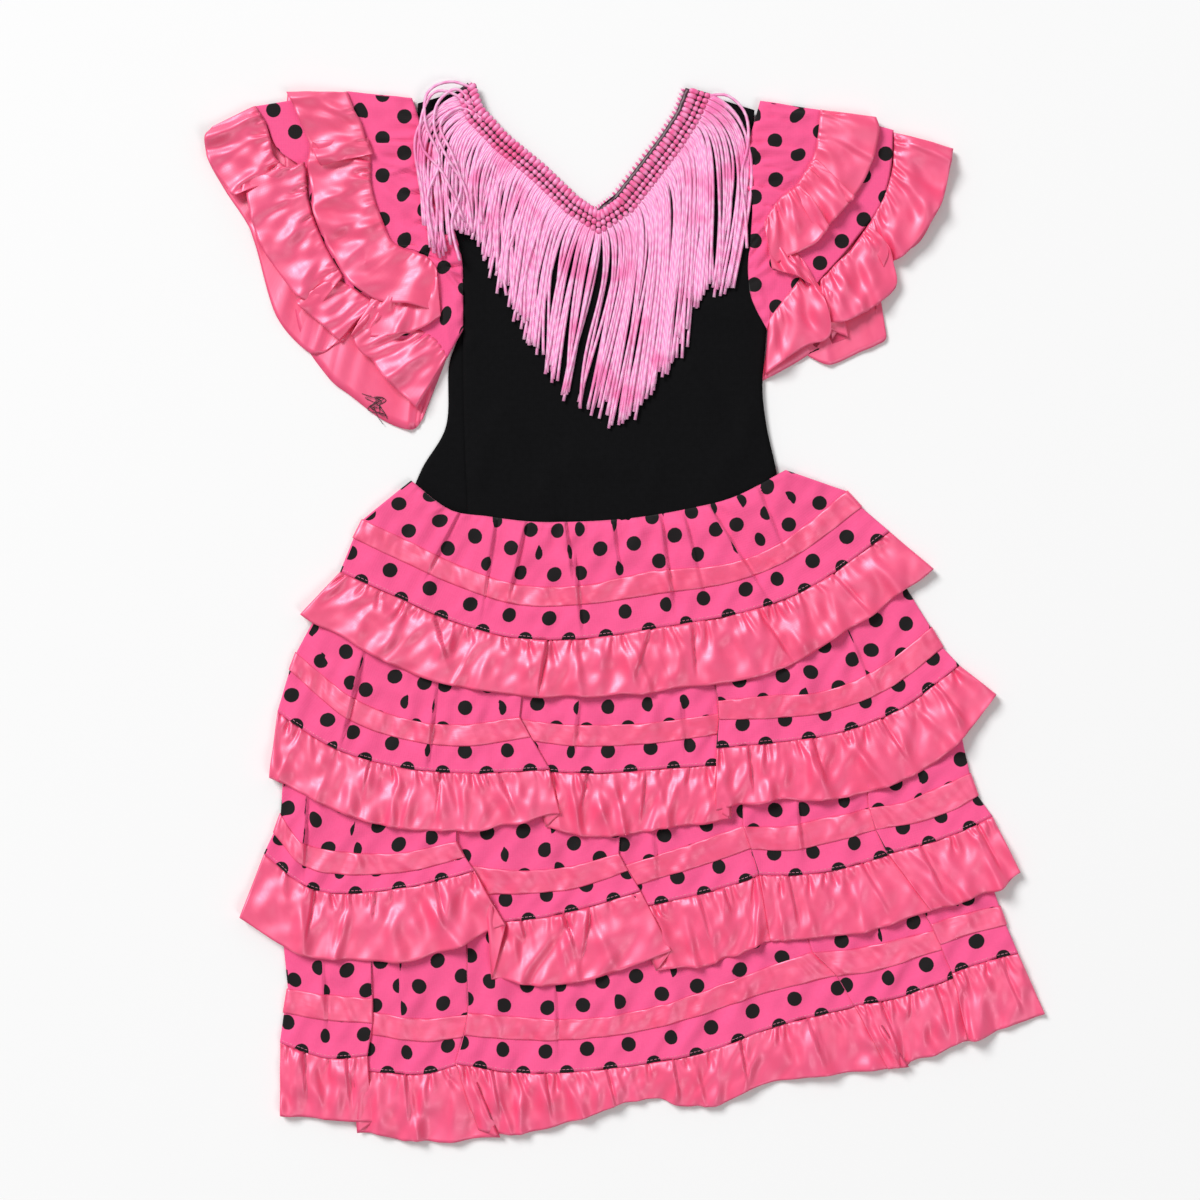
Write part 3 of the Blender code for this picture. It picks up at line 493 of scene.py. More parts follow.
# Frills of the sleeves as they lie, folded over and under: stitching x and y, hem x and y, and how far
# they lie above or below the frill's own level
LEFT_INNER_FRILL = (
    (-206, 388, -252, 388, 0.5),
    (-201, 375, -245, 375, 2.4),
    (-196, 366, -240, 363, 1.4),
    (-192, 353, -231, 345, 2.2),
    (-187, 342, -225, 333, 3.2),
    (-189, 348, -228, 345, 1.4),
    (-191, 354, -234, 350, 0.2),
    (-189, 339, -235, 335, 0.2),
    (-189, 324, -234, 317, 0.5),
    (-186, 309, -231, 300, 0.6),
    (-180, 293, -222, 275, 0.3),
    (-174, 279, -211, 255, 0.6),
    (-166, 273, -198, 242, 0.4),
    (-156, 269, -180, 233, 0.5),
    (-147, 266, -159, 231, 0.6),
    (-140, 258, -138, 224, 0.8),
    (-142, 252, -141, 219, -0.5),
    (-154, 245, -156, 211, -1),
    (-171, 240, -180, 206, -1.2),
    (-186, 239, -202, 206, -1.5),
    (-181, 230, -202, 204, -2),
    (-168, 218, -195, 194, -1.9),
    (-149, 210, -184, 183, -1.6),
    (-139, 203, -171, 168, -1.5),
    (-132, 193, -156, 153, -1.6),
)
LEFT_OUTER_FRILL = (
    (-275, 378, -307, 363, 0.2),
    (-271, 372, -312, 356, 1.4),
    (-267, 365, -313, 345, 0.9),
    (-264, 354, -309, 335, 0.7),
    (-261, 341, -298, 320, 0.8),
    (-250, 332, -291, 312, 0),
    (-242, 330, -285, 314, 1),
    (-238, 336, -282, 323, 2.3),
    (-237, 324, -280, 309, 1.6),
    (-236, 312, -276, 290, 0.8),
    (-232, 297, -270, 272, 0.5),
    (-226, 281, -261, 257, 0.7),
    (-219, 267, -246, 240, 0.4),
    (-210, 252, -231, 228, 1),
    (-213, 249, -231, 228, -0.4),
    (-217, 251, -241, 234, -0.9),
    (-211, 248, -243, 231, -1.4),
    (-199, 241, -228, 216, -1.1),
    (-186, 232, -213, 204, -0.8),
)
RIGHT_INNER_FRILL = (
    (147, 375, 189, 369, 0.4),
    (146, 366, 190, 360, 1.7),
    (145, 356, 187, 343, 0.6),
    (143, 345, 182, 326, 0.8),
    (141, 339, 174, 312, 0.2),
    (137, 333, 168, 305, 0),
    (140, 337, 171, 306, 0.9),
    (144, 338, 172, 309, 1.7),
    (136, 330, 164, 299, 1),
    (130, 321, 153, 288, 0.8),
    (126, 317, 147, 279, 0.6),
    (129, 319, 150, 282, 1.7),
    (132, 320, 153, 287, 2.5),
    (123, 315, 144, 276, 1.6),
    (114, 306, 132, 270, 1.2),
    (108, 297, 121, 266, 1.2),
    (105, 290, 111, 258, 1.5),
    (108, 285, 114, 255, 0.2),
    (120, 273, 132, 249, -0.3),
    (132, 266, 147, 242, -0.6),
    (132, 252, 150, 234, -1.3),
    (129, 246, 154, 208, -1.2),
    (119, 233, 136, 198, -1.1),
    (109, 220, 107, 179, -1),
)
RIGHT_OUTER_FRILL = (
    (202, 358, 246, 346, 0.4),
    (202, 347, 244, 330, 1),
    (201, 333, 238, 310, 0.5),
    (197, 317, 228, 287, 0.8),
    (192, 305, 211, 269, 0.4),
    (185, 293, 202, 263, 0.2),
    (180, 285, 195, 257, 0.1),
    (182, 288, 198, 266, 1),
    (183, 290, 198, 273, 1.8),
    (179, 284, 202, 260, 1.4),
    (174, 277, 204, 243, 1),
    (168, 269, 189, 229, 0.8),
    (159, 261, 177, 222, 0.5),
    (153, 254, 162, 216, 0.8),
    (147, 248, 149, 218, 1.2),
    (150, 245, 152, 213, -0.2),
    (158, 248, 167, 207, -0.6),
)
# Hems of their plain backs, from the upper fold to the lower fold
LEFT_INNER_BACK = (
    (-252, 388), (-254, 347), (-250, 272), (-243, 212), (-222, 177), (-204, 162), (-180, 144), (-159, 137),
    (-150, 146),
)
LEFT_OUTER_BACK = (
    (-307, 363), (-312, 343), (-299, 317), (-283, 293), (-276, 276), (-261, 224), (-240, 198), (-227, 194),
    (-214, 203),
)
RIGHT_INNER_BACK = (
    (189, 369), (183, 324), (170, 264), (161, 212), (137, 192), (105, 174), (105, 176),
)
RIGHT_OUTER_BACK = (
    (246, 346), (237, 310), (223, 279), (202, 263), (204, 244), (189, 227), (197, 207), (189, 200),
    (177, 195), (160, 187), (151, 186), (137, 193),
)

SLEEVE_CREASES = {
    "left": (
        (-190, 350, -136, 350, 2.3, 8, 5.0),
        (-138, 340, -178, 326, 1.6, 7, 3.0),
        (-128, 318, -168, 314, 2.0, 8, 4.0),
        (-124, 300, -162, 290, 1.8, 7, 3.0),
        (-118, 284, -156, 268, 2.0, 7, 3.0),
        (-118, 262, -148, 258, 1.6, 7, 1.5),
        (-136, 366, -160, 348, 1.4, 6, 0),
        (-128, 330, -150, 322, 1.5, 6, 0),
        (-122, 274, -140, 272, 1.4, 5, 0),
    ),
    "right": (
        (92, 350, 136, 344, 1.8, 8, 3.5),
        (92, 334, 132, 326, 1.4, 7, 0),
        (94, 318, 126, 312, 1.9, 8, 3.5),
        (94, 304, 120, 300, 1.4, 7, 0),
        (94, 288, 114, 290, 1.4, 7, 0),
        (104, 372, 130, 362, 1.2, 6, 0),
    ),
}
# Pressed folds and long puckers of the skirt's frills, each where it lies
FRILL_CREASES = (
    (
        (-58, -20, -66, -66, 2.4, 11, 0),
        (50, -10, 53, -50, 1.6, 8, 0),
        (19, -12, 6, -52, 1.2, 10, 0),
        (-142, -4, -131, -40, 1.5, 8, 0),
        (101, -1, 128, -40, 1.4, 11, 0),
        (-25, -26, -44, -64, 1.1, 10, 0),
        (156, 28, 186, -4, 1.6, 9, 0),
    ),
    (
        (15, -122, 12, -158, 1.7, 9, 0),
        (-188, -96, -196, -136, 1.5, 9, 0),
        (-138, -114, -142, -158, 1.3, 10, 0),
        (-96, -118, -80, -152, 1.2, 9, 0),
        (-28, -118, -34, -150, 1.5, 8, 0),
        (92, -100, 96, -136, 1.6, 9, 0),
        (140, -94, 152, -132, 1.3, 10, 0),
        (190, -78, 212, -112, 1.7, 9, 0),
        (232, -52, 256, -84, 1.4, 8, 0),
    ),
    (
        (-46, -226, -37, -250, 2.0, 7, 0),
        (-78, -228, -74, -246, 1.5, 6, 0),
        (-26, -224, -34, -268, 1.2, 11, 0),
        (-187, -210, -189, -232, 1.5, 7, 0),
        (-142, -200, -134, -236, 2.1, 8, 0),
        (-232, -204, -238, -246, 1.6, 9, 0),
        (74, -208, 80, -224, 1.5, 6, 0),
        (56, -216, 66, -252, 1.2, 11, 0),
        (122, -196, 130, -236, 1.4, 9, 0),
        (176, -186, 200, -228, 1.3, 10, 0),
        (220, -174, 240, -214, 1.7, 9, 0),
        (262, -156, 282, -196, 1.4, 8, 0),
    ),
    (
        (-240, -328, -238, -366, 1.6, 9, 0),
        (-208, -332, -204, -376, 1.5, 9, 0),
        (-164, -344, -160, -386, 1.7, 10, 0),
        (-100, -338, -92, -380, 1.5, 10, 0),
        (-60, -342, -54, -380, 1.4, 9, 0),
        (-14, -340, -6, -372, 1.7, 9, 0),
        (36, -334, 42, -366, 1.3, 10, 0),
        (86, -318, 92, -354, 1.6, 9, 0),
        (136, -302, 152, -344, 1.4, 10, 0),
        (190, -288, 206, -330, 1.7, 9, 0),
        (232, -278, 244, -316, 1.3, 8, 0),
        (280, -258, 298, -300, 1.5, 8, 0),
    ),
)

# Colours, sRGB
COTTON_PINK = "F75E94"
COTTON_SHADE = "F2528B"
DOT_BLACK = "100B0D"
# Satin's pink in painted shade, used in its small hollows, and in painted light, used between them
SATIN_PINK_IN_SHADE = "F02E62"
SATIN_PINK_IN_LIGHT = "FF5A8C"
SATIN_SHINE = "FFC2D8"
JERSEY_BLACK = "060607"
JERSEY_BLOOM = "0D0D0F"
# Colours of the cords: their own dyed colour, a painted highlight on the lit side of each ply of the twist,
# and patches painted darker as shade
FRINGE_DYE_AND_SHADING = ("FF9ED4", "FFBEE2", "F46CAE")
HEADING_DYE_AND_SHADING = ("F0609F", "FB96C8", "F04A8C")
# The dark sheet under the braid is painted shade for the gaps between its bars
GROUND_PAINTED_SHADE = ("3A1828", "55233C", "301020")
SEAM_DYE_AND_SHADING = ("F58FB0", "F9B3C8", "F07098")
LOOSE_DYE_AND_SHADING = ("101012", "2A2A2E", "0A0A0C")

# Printed dots: diameter, the pitch of the slanting square lattice that they stand on, and how far the
# yarn draws their edge about, in metres
DOT = 11.0
DOT_LATTICE = 32.7 / math.sqrt(2)
DOT_WANDER = 0.0005

# Spacing of the threads that the weaves are drawn with, in millimetres, and the scale of a cord's plies
COTTON_THREAD = 0.9
SATIN_THREAD = 0.8
JERSEY_RIB = 1.0
PLY_SCALE = 75.0

# Settings of the nodes that mix two colours
RGBA = {"data_type": "RGBA"}

# Studio: lens and sensor in millimetres, and in metres the camera's place, the floor's half side and drop
LENS = 64.0
SENSOR = 36.0
CAMERA_PLACE = (-0.0188, 0.0090, 1.6)
FLOOR_HALF = 4.0
FLOOR_DROP = 0.0008
FLOOR_WHITE = (0.90, 0.90, 0.90, 1.0)
ROOM_LIGHT = 0.355
# Softboxes: name, place, side in metres, and power in watts
SOFTBOXES = (
    ("key softbox", (-10.0, 10.6, 12.8), 7.4, 3360.0),
    ("far softbox", (9.0, -11.0, 15.3), 7.4, 810.0),
)


def linear(hex_colour):
    """The linear RGBA of an sRGB hex colour."""
    values = [int(hex_colour[i : i + 2], 16) / 255 for i in (0, 2, 4)]
    return [v / 12.92 if v <= 0.04045 else ((v + 0.055) / 1.055) ** 2.4 for v in values] + [1.0]


def add(tree, kind, settings=(), **links):
    """Adds a shader node with its settings; a link is input_name=socket or value."""
    made = tree.nodes.new(kind)
    for name, value in dict(settings).items():
        setattr(made, name, value)
    for name, value in links.items():
        socket = made.inputs[int(name[1:])] if name[0] == "_" else made.inputs[name.replace("_", " ")]
        if isinstance(value, bpy.types.NodeSocket):
            tree.links.new(value, socket)
        else:
            socket.default_value = value
    return made


def worked_out(tree, kind, operation, *values):
    """A node that works something out from its values, on numbers or on vectors."""
    return add(tree, kind, {"operation": operation}, **{f"_{k}": value for k, value in enumerate(values)})


def ranged(tree, value, *ends):
    """A value moved from the range of the first two ends to that of the last two."""
    return add(tree, "ShaderNodeMapRange", _0=value, **dict(zip(("_1", "_2", "_3", "_4"), ends))).outputs[0]


def between_colours(tree, share, low, high):
    """The colour at a share of the way from one colour to another."""
    return add(tree, "ShaderNodeMix", RGBA, _0=share, _6=low, _7=high).outputs[2]


def fabric(name, roughness, sheen=0.0, specular=0.5):
    """A new material, its node tree and its shader, with the values that are the same all over it."""
    material = bpy.data.materials.new(name)
    material.use_nodes = True
    tree = material.node_tree
    shader = tree.nodes["Principled BSDF"]
    shader.inputs["Roughness"].default_value = roughness
    shader.inputs["Sheen Weight"].default_value = sheen
    shader.inputs["Specular IOR Level"].default_value = specular
    return material, tree, shader


def woven_relief(tree, shader, place, thread, depth, slub):
    """Bump of warp and weft threads, with slow unevenness of the yarn. One wave is two threads wide."""
    scale = math.pi / (20 * thread * MM)
    ways = {"Vector": place, "Scale": scale, "Distortion": 0.6}
    warp, weft = (add(tree, "ShaderNodeTexWave", {"bands_direction": way}, **ways) for way in "XY")
    cross = worked_out(tree, "ShaderNodeMath", "ADD", warp.outputs["Fac"], weft.outputs["Fac"])
    yarn = add(tree, "ShaderNodeTexNoise", Vector=place, Scale=slub, Detail=3.0)
    both = worked_out(tree, "ShaderNodeMath", "MULTIPLY_ADD", yarn.outputs["Fac"], 2.0, cross.outputs[0])
    bump = add(tree, "ShaderNodeBump", Height=both.outputs[0], Strength=0.35, Distance=depth * MM)
    tree.links.new(bump.outputs["Normal"], shader.inputs["Normal"])
    return yarn


def dotted_cotton():
    """Printed plain-weave cotton: matt, even colour, crisp round dots that sink a little into the yarn."""
    material, tree, shader = fabric("printed plain-weave cotton", 0.82, 0.15, 0.25)
    uv = add(tree, "ShaderNodeTexCoord").outputs["UV"]
    # The real threads are 0.3 mm apart; drawn coarser, so that they show
    yarn = woven_relief(tree, shader, uv, COTTON_THREAD, 0.10, 420.0)
    wobble = add(tree, "ShaderNodeTexNoise", Vector=uv, Scale=700.0, Detail=2.0)
    wander = (DOT_WANDER, DOT_WANDER, 0.0)
    vectors = "ShaderNodeVectorMath"
    shift = worked_out(tree, vectors, "MULTIPLY_ADD", wobble.outputs["Color"], wander, uv)
    slant = (0.0, 0.0, math.pi / 4)
    pitch = (1 / (DOT_LATTICE * MM),) * 2 + (0.0,)
    lattice = add(tree, "ShaderNodeMapping", Vector=shift.outputs[0], Rotation=slant, Scale=pitch)
    cell = worked_out(tree, vectors, "FRACTION", lattice.outputs[0])
    centred = worked_out(tree, vectors, "SUBTRACT", cell.outputs[0], (0.5, 0.5, 0.0))
    away = worked_out(tree, vectors, "LENGTH", centred.outputs[0])
    radius, soft = DOT / 2 / DOT_LATTICE, 0.008
    edge = ranged(tree, away.outputs["Value"], radius - soft, radius + soft, 1.0, 0.0)
    cloth = between_colours(tree, yarn.outputs["Fac"], linear(COTTON_SHADE), linear(COTTON_PINK))
    printed = between_colours(tree, edge, cloth, linear(DOT_BLACK))
    tree.links.new(printed, shader.inputs["Base Color"])
    return material


def satin_cloth(name, patches, drawn_in):
    """Polyester satin: long floats of yarn give a strong broad pink-white shine, and deep coral hollows that
    are partly painted shade.
    """
    material, tree, shader = fabric(name, 0.42, 0.1, 1.0)
    # Polyester's 1.6 is raised, because floats that lie side by side shine more than a plain face
    shader.inputs["IOR"].default_value = 2.0
    shader.inputs["Specular Tint"].default_value = linear(SATIN_SHINE)
    shader.inputs["Anisotropic"].default_value = 0.35
    uv = add(tree, "ShaderNodeTexCoord").outputs["UV"]
    # The real floats are 0.2 mm wide; drawn coarser, so that they show
    yarn = woven_relief(tree, shader, uv, SATIN_THREAD, 0.02, 240.0)
    # Small hollows, where the stitching draws the cloth in, run down the cloth; they are painted darker as
    # shade, and the cloth between them lighter as painted light
    stretch = add(tree, "ShaderNodeMapping", Vector=uv, Scale=patches)
    cloud = add(tree, "ShaderNodeTexNoise", Vector=stretch.outputs[0], Scale=1.0, Detail=2.0, Roughness=0.5)
    tint = between_colours(tree, cloud.outputs["Fac"], linear(SATIN_PINK_IN_SHADE), linear(SATIN_PINK_IN_LIGHT))
    tree.links.new(tint, shader.inputs["Base Color"])
    woven = shader.inputs["Normal"].links[0].from_node
    hollows = {"Strength": drawn_in, "Distance": 0.0009}
    drawn = add(tree, "ShaderNodeBump", Height=cloud.outputs["Fac"], Normal=woven.outputs[0], **hollows)
    tree.links.new(drawn.outputs[0], shader.inputs["Normal"])
    rough = ranged(tree, yarn.outputs["Fac"], 0.3, 0.7, 0.44, 0.54)
    tree.links.new(rough, shader.inputs["Roughness"])
    return material


def knitted_jersey():
    """Black viscose jersey: fine knitted ribs, nearly matt, with a faint bloom of loose fibre."""
    material, tree, shader = fabric("knitted viscose jersey", 0.9, 0.0, 0.12)
    place = add(tree, "ShaderNodeTexCoord").outputs["Object"]
    # The real ribs are 0.5 mm apart; drawn coarser, so that they show
    yarn = woven_relief(tree, shader, place, JERSEY_RIB, 0.08, 260.0)
    tint = between_colours(tree, yarn.outputs["Fac"], linear(JERSEY_BLACK), linear(JERSEY_BLOOM))
    tree.links.new(tint, shader.inputs["Base Color"])
    return material


def twisted_cord(name, dye_and_shading):
    """Twisted rayon cord: two plies wound round each other show as slanting bands, with a painted highlight
    on one side of each ply, and patches painted darker as shade.
    """
    colour, light, shade = [linear(swatch) for swatch in dye_and_shading]
    material, tree, shader = fabric(name, 0.42, 0.2, 0.5)
    place = add(tree, "ShaderNodeTexCoord")
    uv = place.outputs["UV"]
    # Patches of painted shade, at random over the cord, where it is mixed toward its darker colour
    shade_patches = add(tree, "ShaderNodeTexNoise", Vector=place.outputs["Object"], Scale=38.0, Detail=2.0)
    deep = ranged(tree, shade_patches.outputs["Fac"], 0.52, 0.68, 0.0, 0.8)
    # The plies turn once in 8.4 mm, coarser than the real 3 mm, so that the twist shows
    slant = {"bands_direction": "DIAGONAL"}
    ply = add(tree, "ShaderNodeTexWave", slant, Vector=uv, Scale=PLY_SCALE, Distortion=1.0)
    # The lighter side of each ply's slanting band is a painted highlight
    tint = between_colours(tree, ply.outputs["Fac"], colour, light)
    tree.links.new(between_colours(tree, deep, tint, shade), shader.inputs["Base Color"])
    bump = add(tree, "ShaderNodeBump", Height=ply.outputs["Fac"], Strength=0.6, Distance=0.0003)
    tree.links.new(bump.outputs[0], shader.inputs["Normal"])
    return material


def spline(rows, places):
    """A table's values at places from 0 to 1 along it, on a smooth curve through its rows."""
    table = np.array(rows, float)
    last = len(table) - 1
    at = np.asarray(places, float) * last
    i = np.minimum(at.astype(int), last - 1)
    f = (at - i)[:, None]
    before, a = table[np.maximum(i - 1, 0)], table[i]
    b, after = table[i + 1], table[np.minimum(i + 2, last)]
    bend = (b - before) * f + (2 * before - 5 * a + 4 * b - after) * f**2
    return a + 0.5 * (bend + (3 * a - before - 3 * b + after) * f**3)


def smooth(value, low, high):
    """0 below low and 1 above high, with an even ease between."""
    part = np.clip((value - low) / (high - low), 0, 1)
    return part * part * (3 - 2 * part)


def measured(line):
    """Distance along a line of plan points, from 0."""
    steps = np.linalg.norm(np.diff(line, axis=0), axis=1)
    return np.concatenate([[0.0], np.cumsum(steps)])


def beside(x, y, line):
    """Places of plan points along a line, from 0 at its start to 1 at its end, and how far beside it."""
    along = np.array((line[2] - line[0], line[3] - line[1]), float)
    length = np.linalg.norm(along)
    along = along / length
    place = ((x - line[0]) * along[0] + (y - line[1]) * along[1]) / length
    away = (y - line[1]) * along[0] - (x - line[0]) * along[1]
    return place, away


def crease_fade(place):
    """A crease begins quickly and dies away slowly."""
    return smooth(place, -0.12, 0.04) * (1 - smooth(place, 0.55, 1.08))


def creased(x, y, creases):
    """Height that creases add at plan points."""
    rise = np.zeros_like(x)
    for crease in creases:
        height, width = crease[4:6]
        place, away = beside(x, y, crease)
        steep = STEEP_FLANK if height > STRONG_CREASE else width
        flank = np.where(away > 0, steep, width)
        ridge = np.exp(-((away / flank) ** 2))
        if height > STRONG_CREASE:
            ridge = ridge - UNDERCUT * np.exp(-(((away - UNDERCUT_PLACE) / UNDERCUT_WIDTH) ** 2))
        rise += CREASE_HEIGHT * height * crease_fade(place) * ridge
    return rise


def propped(rise, lowest):
    """Relief whose hollows are held up by the layer beneath, from a lowest depth on."""
    return np.where(rise < lowest, lowest + PROP_GIVE * (rise - lowest), rise)


def tucked_cloth(x, y, creases):
    """How far the cloth beside each crease has slipped into it, across and up."""
    slip = np.zeros(x.shape + (2,))
    for crease in creases:
        place, away = beside(x, y, crease)
        along = np.array((crease[2] - crease[0], crease[3] - crease[1]), float)
        along = along / np.linalg.norm(along)
        share = crease[6] * crease_fade(place) * smooth(away, -CUT_BAND, CUT_BAND)
        slip += share[..., None] * (-along[1], along[0])
    return slip


def gathers(seed, length, spacing, height, depth):
    """Ridges of a gathered edge, uneven in all: rows of place, height, width, length and slant."""
    rng = np.random.RandomState(seed)
    ridges = []
    at = -spacing
    while at < length + spacing:
        at += spacing * rng.uniform(*GATHER_APART)
        drawn = rng.uniform()
        long, tall = next(kind[1:] for kind in GATHER_KINDS if drawn < kind[0])
        reach = depth * long * rng.uniform(*GATHER_LONG)
        size = height * rng.uniform(*GATHER_TALL) * tall
        ridges.append((at, size, rng.uniform(*GATHER_WIDE), reach, rng.uniform(-GATHER_SLANT, GATHER_SLANT)))
    return ridges


def gathered(s, t, ridges):
    """Height at s along the stitching and t below it, from ridges that widen and die away."""
    rise = np.zeros_like(s)
    for at, size, width, reach, slant in ridges:
        spread = width * (1 + GATHER_SPREAD * np.clip(t / reach, 0, 3))
        d = (s - at - slant * t) / spread
        fade = (1 - smooth(t, 0.15 * reach, reach)) * smooth(t, -1.0, 2.2)
        rise += size * fade * np.exp(-(d**2))
    return rise


def billowed(s, t, seed, least, most, pull, steepness):
    """Soft unevenness of slack cloth: slanting swells of many lengths, drawn out down the frill by pull."""
    rng = np.random.RandomState(seed)
    rise = np.zeros_like(s)
    for _ in range(SWELLS):
        length = rng.uniform(least, most)
        turn = rng.normal(0, SWELL_TURN)
        across, down = math.cos(turn) / length, math.sin(turn) / length / pull
        bend = SWELL_BEND * np.sin(2 * math.pi * (t / BEND_DOWN + s / BEND_ACROSS) + rng.uniform(0, 6.3))
        phase = 2 * math.pi * (across * s + down * t) + bend + rng.uniform(0, 6.3)
        rise += steepness * length * np.sin(phase)
    return rise


def puckered(s, t, seed):
    """Teardrop hollows under a frill's stitching, in clusters, each with a soft shoulder on both sides."""
    rng = np.random.RandomState(seed)
    rise = np.zeros_like(s)
    at = s.min() - 4.0
    while at < s.max() + 4.0:
        at += rng.uniform(*PUCKER_APART) if rng.uniform() < 0.6 else rng.uniform(*CLUSTER_APART)
        depths, reaches, growth = STRONG_PUCKER if rng.uniform() < 0.4 else SLIGHT_PUCKER
        deep = rng.uniform(*depths)
        reach = rng.uniform(*reaches)
        lean = rng.uniform(-PUCKER_LEAN, PUCKER_LEAN)
        bend = rng.uniform(-PUCKER_BEND, PUCKER_BEND)
        part = np.clip(t / reach, 0, 1.2)
        width = PUCKER_WIDTH + growth * part
        d = s - at - lean * t - bend * t**2
        fade = smooth(t, -0.5, 1.6) * (1 - smooth(part, 0.35, 1.0))
        rise -= deep * fade * np.exp(-((d / width) ** 2))
        rise += 0.45 * deep * fade * np.exp(-(((np.abs(d) - 2.3 * width) / (1.2 * width)) ** 2))
    return rise


def placed(name, data):
    """A new object in the scene."""
    thing = bpy.data.objects.new(name, data)
    bpy.context.scene.collection.objects.link(thing)
    return thing


def finished(form, name, material):
    """The object of a finished mesh, smooth, in its material and riding on the dress."""
    mesh = bpy.data.meshes.new(name)
    form.to_mesh(mesh)
    form.free()
    mesh.shade_smooth()
    mesh.materials.append(material)
    thing = placed(name, mesh)
    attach(thing, "root")
    return thing


def walled(thing, wall):
    """Gives cloth its real thickness, inward from its outside."""
    shell = thing.modifiers.new("wall", "SOLIDIFY")
    shell.thickness = wall * MM
    shell.offset = -1.0
    return shell


def sewn_tube(name, plan, heights, cloth_across, cloth_down, wall, material, closed=True):
    """A grid of cloth with a thin wall, over arrays of points: rows from the lower edge up, columns round."""
    rows, columns = heights.shape
    form = bmesh.new()
    bmesh.ops.create_grid(form, x_segments=columns - 1, y_segments=rows - 1, size=0.5)
    form.verts.ensure_lookup_table()
    points = np.dstack([plan, heights]).reshape(-1, 3)
    points = (points - MIDDLE) * MM
    for vert, point in zip(form.verts, points):
        vert.co = point
    uv = form.loops.layers.uv.new("cloth")
    across = (cloth_across * MM).reshape(-1)
    down = (cloth_down * MM).reshape(-1)
    form.verts.index_update()
    for face in form.faces:
        for loop in face.loops:
            i = loop.vert.index
            loop[uv].uv = (across[i], down[i])
    if closed:
        bmesh.ops.remove_doubles(form, verts=form.verts, dist=0.00001)
    thing = finished(form, name, material)
    walled(thing, wall).use_even_offset = False
    return thing


def laid_flat(thing, across, down, held, rests_on, slot, *nodes):
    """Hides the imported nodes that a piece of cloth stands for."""
    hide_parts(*nodes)


def front_columns(stretches, keys, spacing, measure):
    """Columns along a front from left to right. Where stretches lap, the cloth folds under the upper one."""
    columns = []
    lifts = []
    owners = []
    for k, stretch in enumerate(stretches):
        width = measured(spline(stretch, np.linspace(0, 1, 40))[:, measure : measure + 2])[-1]
        count = max(3, round(width / spacing))
        rows = spline(stretch, np.linspace(0, 1, count + 1))
        plan, lift = rows[:, : 2 * keys], rows[:, -1].copy()
        if k == 0:
            columns.append(plan)
            lifts.append(lift)
            owners.append(np.zeros(len(plan), int))
            continue
        last_plan, last_lift = columns[-1], lifts[-1]
        over = last_lift[-1] > lift[0]
        upper, lower = (last_plan[::-1], plan) if over else (plan, last_plan[::-1])
        step = (lower[1] - lower[0]) / np.linalg.norm((lower[1] - lower[0])[measure : measure + 2])
        tucked = [lower[0] - step * TUCK_BACK * i / TUCK_STEPS for i in range(1, TUCK_STEPS + 1)]
        top = max(last_lift[-1], lift[0])
        beyond = upper[0] - upper[1]
        edge = upper[0] + beyond / max(1e-6, np.linalg.norm(beyond[0:2])) * FOLD_ROUND
        share = np.linspace(0, 1, TUCK_STEPS + 1)[:, None]
        between = edge * (1 - share) + tucked[-1] * share
        middle = np.full(len(between), top * UNDER_FOLD)
        middle[0], middle[-1] = top * FOLD_TURN, FOLD_END
        hidden = np.array(tucked[-2::-1])
        low = np.full(len(hidden), HIDDEN_LOW)
        if over:
            columns.extend([between, hidden, plan])
            lifts.extend([middle, low, lift])
            owners.extend([np.full(len(between), k - 1), np.full(len(hidden), k)])
        else:
            columns.extend([hidden[::-1], between[::-1], plan])
            lifts.extend([low, middle[::-1], lift])
            owners.extend([np.full(len(hidden), k - 1), np.full(len(between), k)])
        owners.append(np.full(len(plan), k))
    return np.concatenate(columns), np.concatenate(lifts), np.concatenate(owners)


def rows_down(plan, keys, spacing):
    """Plan points down each column through its key points, and each row's place among the keys."""
    count = plan.shape[0]
    points = plan.reshape(count, -1, 2)[:, keys]
    lengths = np.linalg.norm(np.diff(points, axis=1), axis=2).mean(axis=0)
    places = []
    for i, length in enumerate(lengths):
        steps = max(2, round(length / spacing))
        places.extend(i + np.arange(steps) / steps)
    places.append(len(lengths))
    places = np.array(places)
    low = np.minimum(places.astype(int), len(lengths) - 1)
    part = (places - low)[None, :, None]
    down = points[:, low] * (1 - part) + points[:, low + 1] * part
    return down, places


def fold_round(front, front_z, back, back_z, bulge):
    """Joins a front and a back (rows, columns) into one round: turns at both side folds and closes."""
    turns = np.arange(1, TURN_COLUMNS + 1) / (TURN_COLUMNS + 1)
    out = np.sin(turns * math.pi) * bulge
    drop = 0.5 - 0.5 * np.cos(turns * math.pi)

    def turn(edge, inner, z_from, z_to):
        way = edge - inner
        way = way / np.maximum(np.linalg.norm(way, axis=-1, keepdims=True), 1e-6)
        plan = [edge + way * o for o in out]
        level = [z_from * (1 - d) + z_to * d for d in drop]
        return np.stack(plan, axis=1), np.stack(level, axis=1)

    right, right_z = turn(front[:, -1], front[:, -3], front_z[:, -1], back_z[:, 0])
    left, left_z = turn(front[:, 0], front[:, 2], back_z[:, -1], front_z[:, 0])
    plan = np.concatenate([front, right, back, left, front[:, :1]], axis=1)
    heights = np.concatenate([front_z, right_z, back_z, left_z, front_z[:, :1]], axis=1)
    return plan, heights


def back_of(front, spacing):
    """A plain back along the same line as the front's ends and outline, from right to left."""
    last = front.shape[1] - 1
    width = np.abs(front[0, -1, 0] - front[0, 0, 0]) + 1
    count = max(6, round(width / spacing))
    order = np.argsort(front[0, :, 0], kind="stable")
    goal = np.linspace(front[0, 0, 0], front[0, -1, 0], count + 1)
    found = order[np.searchsorted(front[0, order, 0], goal).clip(0, last)]
    found[0], found[-1] = 0, last
    picked = front[:, found][:, ::-1]
    return picked


